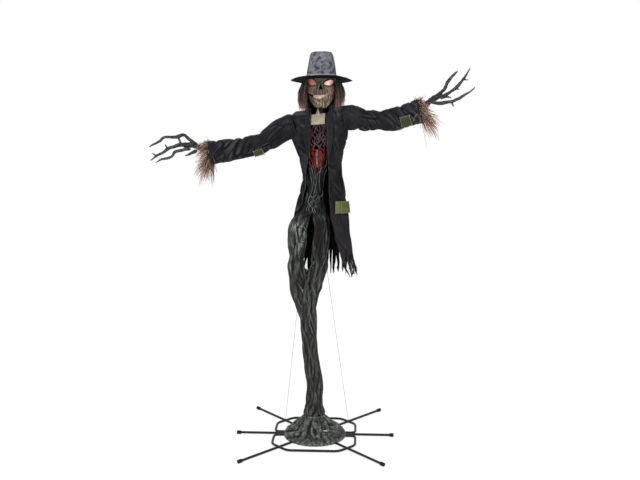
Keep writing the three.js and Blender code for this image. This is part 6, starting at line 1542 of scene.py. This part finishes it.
def makeHair(name, side, seed):
    luck = np.random.default_rng(seed)
    lines, girths, tones = [], [], []
    for k in range(hair["strands"]):
        angle = hair["start"] + (hair["end"] - hair["start"]) * luck.uniform() ** 0.9
        layer = luck.uniform()
        root = hair["root"] + 0.022 * layer
        flare = root + (hair["flare"] - root) * luck.uniform(0.1, 1.12) * (0.3 + 0.7 * layer)
        bottom = hair["bottom"] - hair["drop"] * abs(math.cos(angle)) + side * hair["shoulder"] * 0.1
        bottom = bottom + luck.uniform(-0.002, 0.05)
        t = np.linspace(0, 1, 14)
        radius = root + (flare - root) * np.clip(t / 0.5, 0, 1) ** 0.7
        turn = angle + 0.10 * luck.normal() * t
        turn = turn + 0.045 * np.sin(t * luck.uniform(6, 20) + luck.uniform(0, 6)) * t
        z = hair["bandTop"] - 0.002 + (bottom - hair["bandTop"]) * t
        radius = radius + 0.0042 * np.sin(t * luck.uniform(9, 26) + luck.uniform(0, 6)) * t
        lines.append(np.stack([head["x"] + side * radius * np.sin(turn), -radius * np.cos(turn), z], axis=1))
        girths.append(np.interp(t, [0, 0.4, 1], [1.2, 1, 0.35]) * luck.uniform(0.7, 1.3))
        tones.append(luck.uniform())
    return strandsFrom(name, lines, girths, tones, "hairBrown", hair["thick"])


stand(makeHair("leftHair", 1, 91), "head", "hair_straw", "hair_left")
stand(makeHair("rightHair", -1, 92), "head", "hair_straw", "hair_right")
print("hat and hair made")


mound = {
    "x": -0.005, "roots": 26, "reach": 0.205, "inner": 0.05, "thick": (0.012, 0.026), "voxel": 0.0038,
    "floor": 0.0025,
    "core": [[0, 0, .002, .2], [0, 0, .02, .2], [0, 0, .045, .17], [-.003, 0, .075, .11],
             [-.005, 0, .11, .075], [-.008, 0, .126, .07]],
}


def makeMound():
    # roots that run down all round a low core, cut off at the ground
    luck = np.random.default_rng(7)
    core = lineThrough(mound["core"], 24)
    parts = [tubeAround(core[:, :3], core[:, 3], 64)]
    t = np.linspace(0, 1, 40)
    for k in range(mound["roots"]):
        angle = 2 * math.pi * (k + luck.uniform(-0.3, 0.3)) / mound["roots"]
        reach = luck.uniform(0.86, 1.0) * mound["reach"]
        swirl = luck.uniform(-0.8, 0.8)
        radius = mound["inner"] + (reach - mound["inner"]) * t
        high = 0.125 * (1 - t) ** 1.5 + 0.018 + 0.010 * np.sin(t * luck.uniform(4, 9) + luck.uniform(0, 6)) * t
        turn = angle + swirl * t + 0.08 * np.sin(t * luck.uniform(5, 11) + luck.uniform(0, 6))
        line = np.stack([mound["x"] + radius * np.cos(turn), radius * np.sin(turn), high - 0.004], axis=1)
        thick = luck.uniform(*mound["thick"]) * np.interp(t, [0, 0.2, 0.8, 1], [0.7, 1, 1.05, 0.55])
        parts.append(tubeAround(line, thick, 12, across=(0, 0, 1)))
    points, faces = together(parts)
    points[:, 2] = np.maximum(points[:, 2], mound["floor"])
    piece = grown(newPiece("moundRoots", points, faces), mound["voxel"])
    points = eased(places(piece), edgesOf(piece), 2)
    rough = noiseAt(points, (40, 40, 40), 3.0) + 0.5 * noiseAt(points, (110, 110, 110))
    moveTo(piece, points)
    points = points + normals(piece) * (0.0016 * rough)[:, None]
    points[:, 2] = np.maximum(points[:, 2], 0.001)
    moveTo(piece, points)
    markRidges(piece, 14, 0.003)
    return dress(piece, "moundBark")


stand(makeMound(), "stand", "mound_roots", "ground_mound")
print("mound made")


# hip patch, bib and throat twine; box is [height low and high, x low and high, lift off the coat]
hipLook = {"box": (0.376, 0.446, 0.128, 0.205, 0.014), "map": (0.09, 0.07), "fold": 0.158, "soft": 0.004}
bibLook = {"box": (0.906, 0.968, -0.036, 0.068, -0.009), "map": (0.13, 0.075)}
twine = {"strands": 16, "x": 0.026, "y": -0.072, "top": 2.098, "thick": 0.0013}


def coatPatch(name, look, finish):
    lowShare, highShare, startX, endX, lift = look["box"]
    levels, columns = 40, 40
    share = np.repeat(np.linspace(lowShare, highShare, levels)[:, None], columns, axis=1)
    angle = frontAngle(share, np.linspace(startX, endX, columns)[None, :])
    points = coatPlace(share, angle, lift).reshape(-1, 3)
    points = points + np.outer(0.0015 * noiseAt(points, (30, 30, 30), 4.0), (0, -1, 0))
    faces = gridFaces(levels, columns, around=False)
    return sheetPiece(name, points, faces, (columns, levels), look["map"], (finish,), 0.002)


hip = coatPatch("hipPatch", hipLook, "hipCloth")
spots = places(hip)
fade = (hipLook["fold"] - spots[:, 0]) / hipLook["soft"] + 0.4 * noiseAt(spots, (60, 60, 60))
giveValues(hip, "stain", np.clip(fade, 0, 1))
stand(hip, "stand", "patch_cloth", "hip_patch")


def coatLine(shares, x, lift=0.0165):
    # a line on the coat's front through shares of its height and x values
    return coatPlace(shares, frontAngle(shares, x), lift)


t = np.linspace(0, 1, 14)
seams = [coatLine(0.376 + 0.07 * t, x + 0 * t) for x in (0.13, 0.158, 0.203)]
seams += [coatLine(share + 0 * t, 0.13 + 0.073 * t) for share in (0.378, 0.444)]
stand(stitched("hipStitches", seams), "stand", "patch_cloth")
bib = coatPatch("neckBib", bibLook, "bibCloth")
stand(bib, "stand", "burlap", "neck_bib")


def makeThroatTwine():
    # frayed twine from the bib up to the chin
    luck, t = np.random.default_rng(77), np.linspace(0, 1, 9)
    lines, girths = [], []
    for k in range(twine["strands"]):
        x = twine["x"] + luck.normal(0, 0.002)
        x = x + luck.normal(0, 0.009) * t**2
        y = twine["y"] - 0.012 * t + 0.002 * np.sin(9 * t + k)
        lines.append(np.stack([x, y, twine["top"] - luck.uniform(0.03, 0.045) * t], axis=1))
        girths.append(np.interp(t, [0, 0.7, 1], [1, 0.9, 0.3]) * luck.uniform(0.7, 1.2))
    tones = luck.uniform(0.3, 0.9, twine["strands"])
    return strandsFrom("throatTwine", lines, girths, tones, "twineCream", twine["thick"], 5)


stand(makeThroatTwine(), "stand", "burlap")


# tethers: taut braided cords from the pelvis to the rear loops of the base
tethers = {
    "right": {"start": (-0.044, 0.0655, 1.503), "end": (-0.2128, 0.2282, 0.0199)},
    "left": {"start": (0.016, 0.0655, 1.503), "end": (0.2128, 0.2282, 0.0199)},
    "radius": 0.0012, "strand": 0.62, "lay": 0.011, "turns": 700,
}


def makeTether(name, start, end):
    # three laid strands round a straight line
    share = np.linspace(0, 1, tethers["turns"])
    line = np.array(start) + np.outer(share, np.subtract(end, start))
    length = math.dist(start, end)
    thick = tethers["radius"] * (1 - tethers["strand"] * 0.5)
    parts = []
    for number in range(3):
        angle = 2 * math.pi * (number / 3 + share * length / tethers["lay"] / 3)
        off = squareTo(line, (0, 1, 0), angle) * (tethers["radius"] - thick)
        parts.append(tubeAround(line + off, thick + 0 * share, 6, across=(0, 1, 0)))
    return dress(newPiece(name, *together(parts)), "tetherGrey"), length


for title in ("right", "left"):
    ends = tethers[title]
    cord, length = makeTether(title + "Tether", ends["start"], ends["end"])
    stand(cord, "stand", slots["tether_" + title], "tether_" + title)
    print(title, "tether", round(length, 4))


# parts that are shown as they are in the CAD
carried = {
    "blackSteel": ("base_frame", "side_leg", "corner_leg", "hub_", "mast_", "spine", "shoulder_yoke", "head_frame"),
    "capRubber": ("leg_cap", "mode_button"),
    "sensorMilk": ("motion_sensor",),
    "boxPlastic": ("control_box", "neck_gearmotor", "shoulder_gearmotor", "jaw_gearmotor", "chest_lamp"),
    "redGlow": ("chest_lens",),
    "zincSteel": ("arm_tube",),
    "eyeGlow": ("eye_lens_left",),
    "eyeDull": ("eye_lens_right",),
    "mouthGlow": ("mouth_lens",),
}
for finish, starts in carried.items():
    for title, node in nodes.items():
        if title.startswith(starts):
            dress(node, finish)
print("carried parts dressed")


studio = {
    "sky": 0.55, "bounce": 0.86, "seen": 0.16, "glow": 0.85, "half": 30, "drop": 0.0005, "aim": (0, 0, 1.4),
    "lamps": {
        # place, power and size
        "key": ((-2.6, -4.2, 4.4), 150, 2.2), "fill": ((3.6, -3.6, 2.6), 70, 2.6),
        "rim": ((1.2, 3.8, 4.2), 90, 2.4),
    },
}


def seenRays(path, tree):
    # 1 for what the camera sees, also in a mirror or through glass
    others = sumOf(tree, "MAXIMUM", path["Is Glossy Ray"], path["Is Transmission Ray"])
    return sumOf(tree, "MAXIMUM", path["Is Camera Ray"], others)


def makeStudio():
    # a floor that looks white and lights the figure softly, a white world and three lamps
    half, white = studio["half"], (1, 1, 1, 1)
    corners = [(x * half, y * half, -studio["drop"]) for x, y in ((-1, -1), (1, -1), (1, 1), (-1, 1))]
    floor = newPiece("floor", corners, [(0, 1, 2, 3)], False)
    tree, shader = newFinish("studioFloor", 0.9)
    shader.inputs["Emission Color"].default_value = white
    path = nodeIn(tree, "ShaderNodeLightPath").outputs
    pale = blended(tree, path["Is Camera Ray"], [studio["bounce"]] * 3, [studio["seen"]] * 3)
    tree.links.new(pale, shader.inputs["Base Color"])
    glow = sumOf(tree, "MULTIPLY", seenRays(path, tree), studio["glow"])
    tree.links.new(glow, shader.inputs["Emission Strength"])
    dress(floor, "studioFloor")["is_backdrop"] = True

    world = bpy.data.worlds.new("studio")
    scene.world = world
    world.use_nodes = True
    tree = world.node_tree
    back = tree.nodes["Background"]
    back.inputs["Color"].default_value = white
    seen = seenRays(nodeIn(tree, "ShaderNodeLightPath").outputs, tree)
    tree.links.new(spread(tree, seen, 0, 1, studio["sky"], 1.0), back.inputs["Strength"])

    for title, (place, power, size) in studio["lamps"].items():
        lamp = bpy.data.objects.new(title, bpy.data.lights.new(title, "AREA"))
        scene.collection.objects.link(lamp)
        lamp.location = place
        lamp.data.energy = power
        lamp.data.size = size
        lamp.rotation_euler = (Vector(studio["aim"]) - Vector(place)).to_track_quat("-Z", "Y").to_euler()


makeStudio()
print("studio made")

low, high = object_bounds()
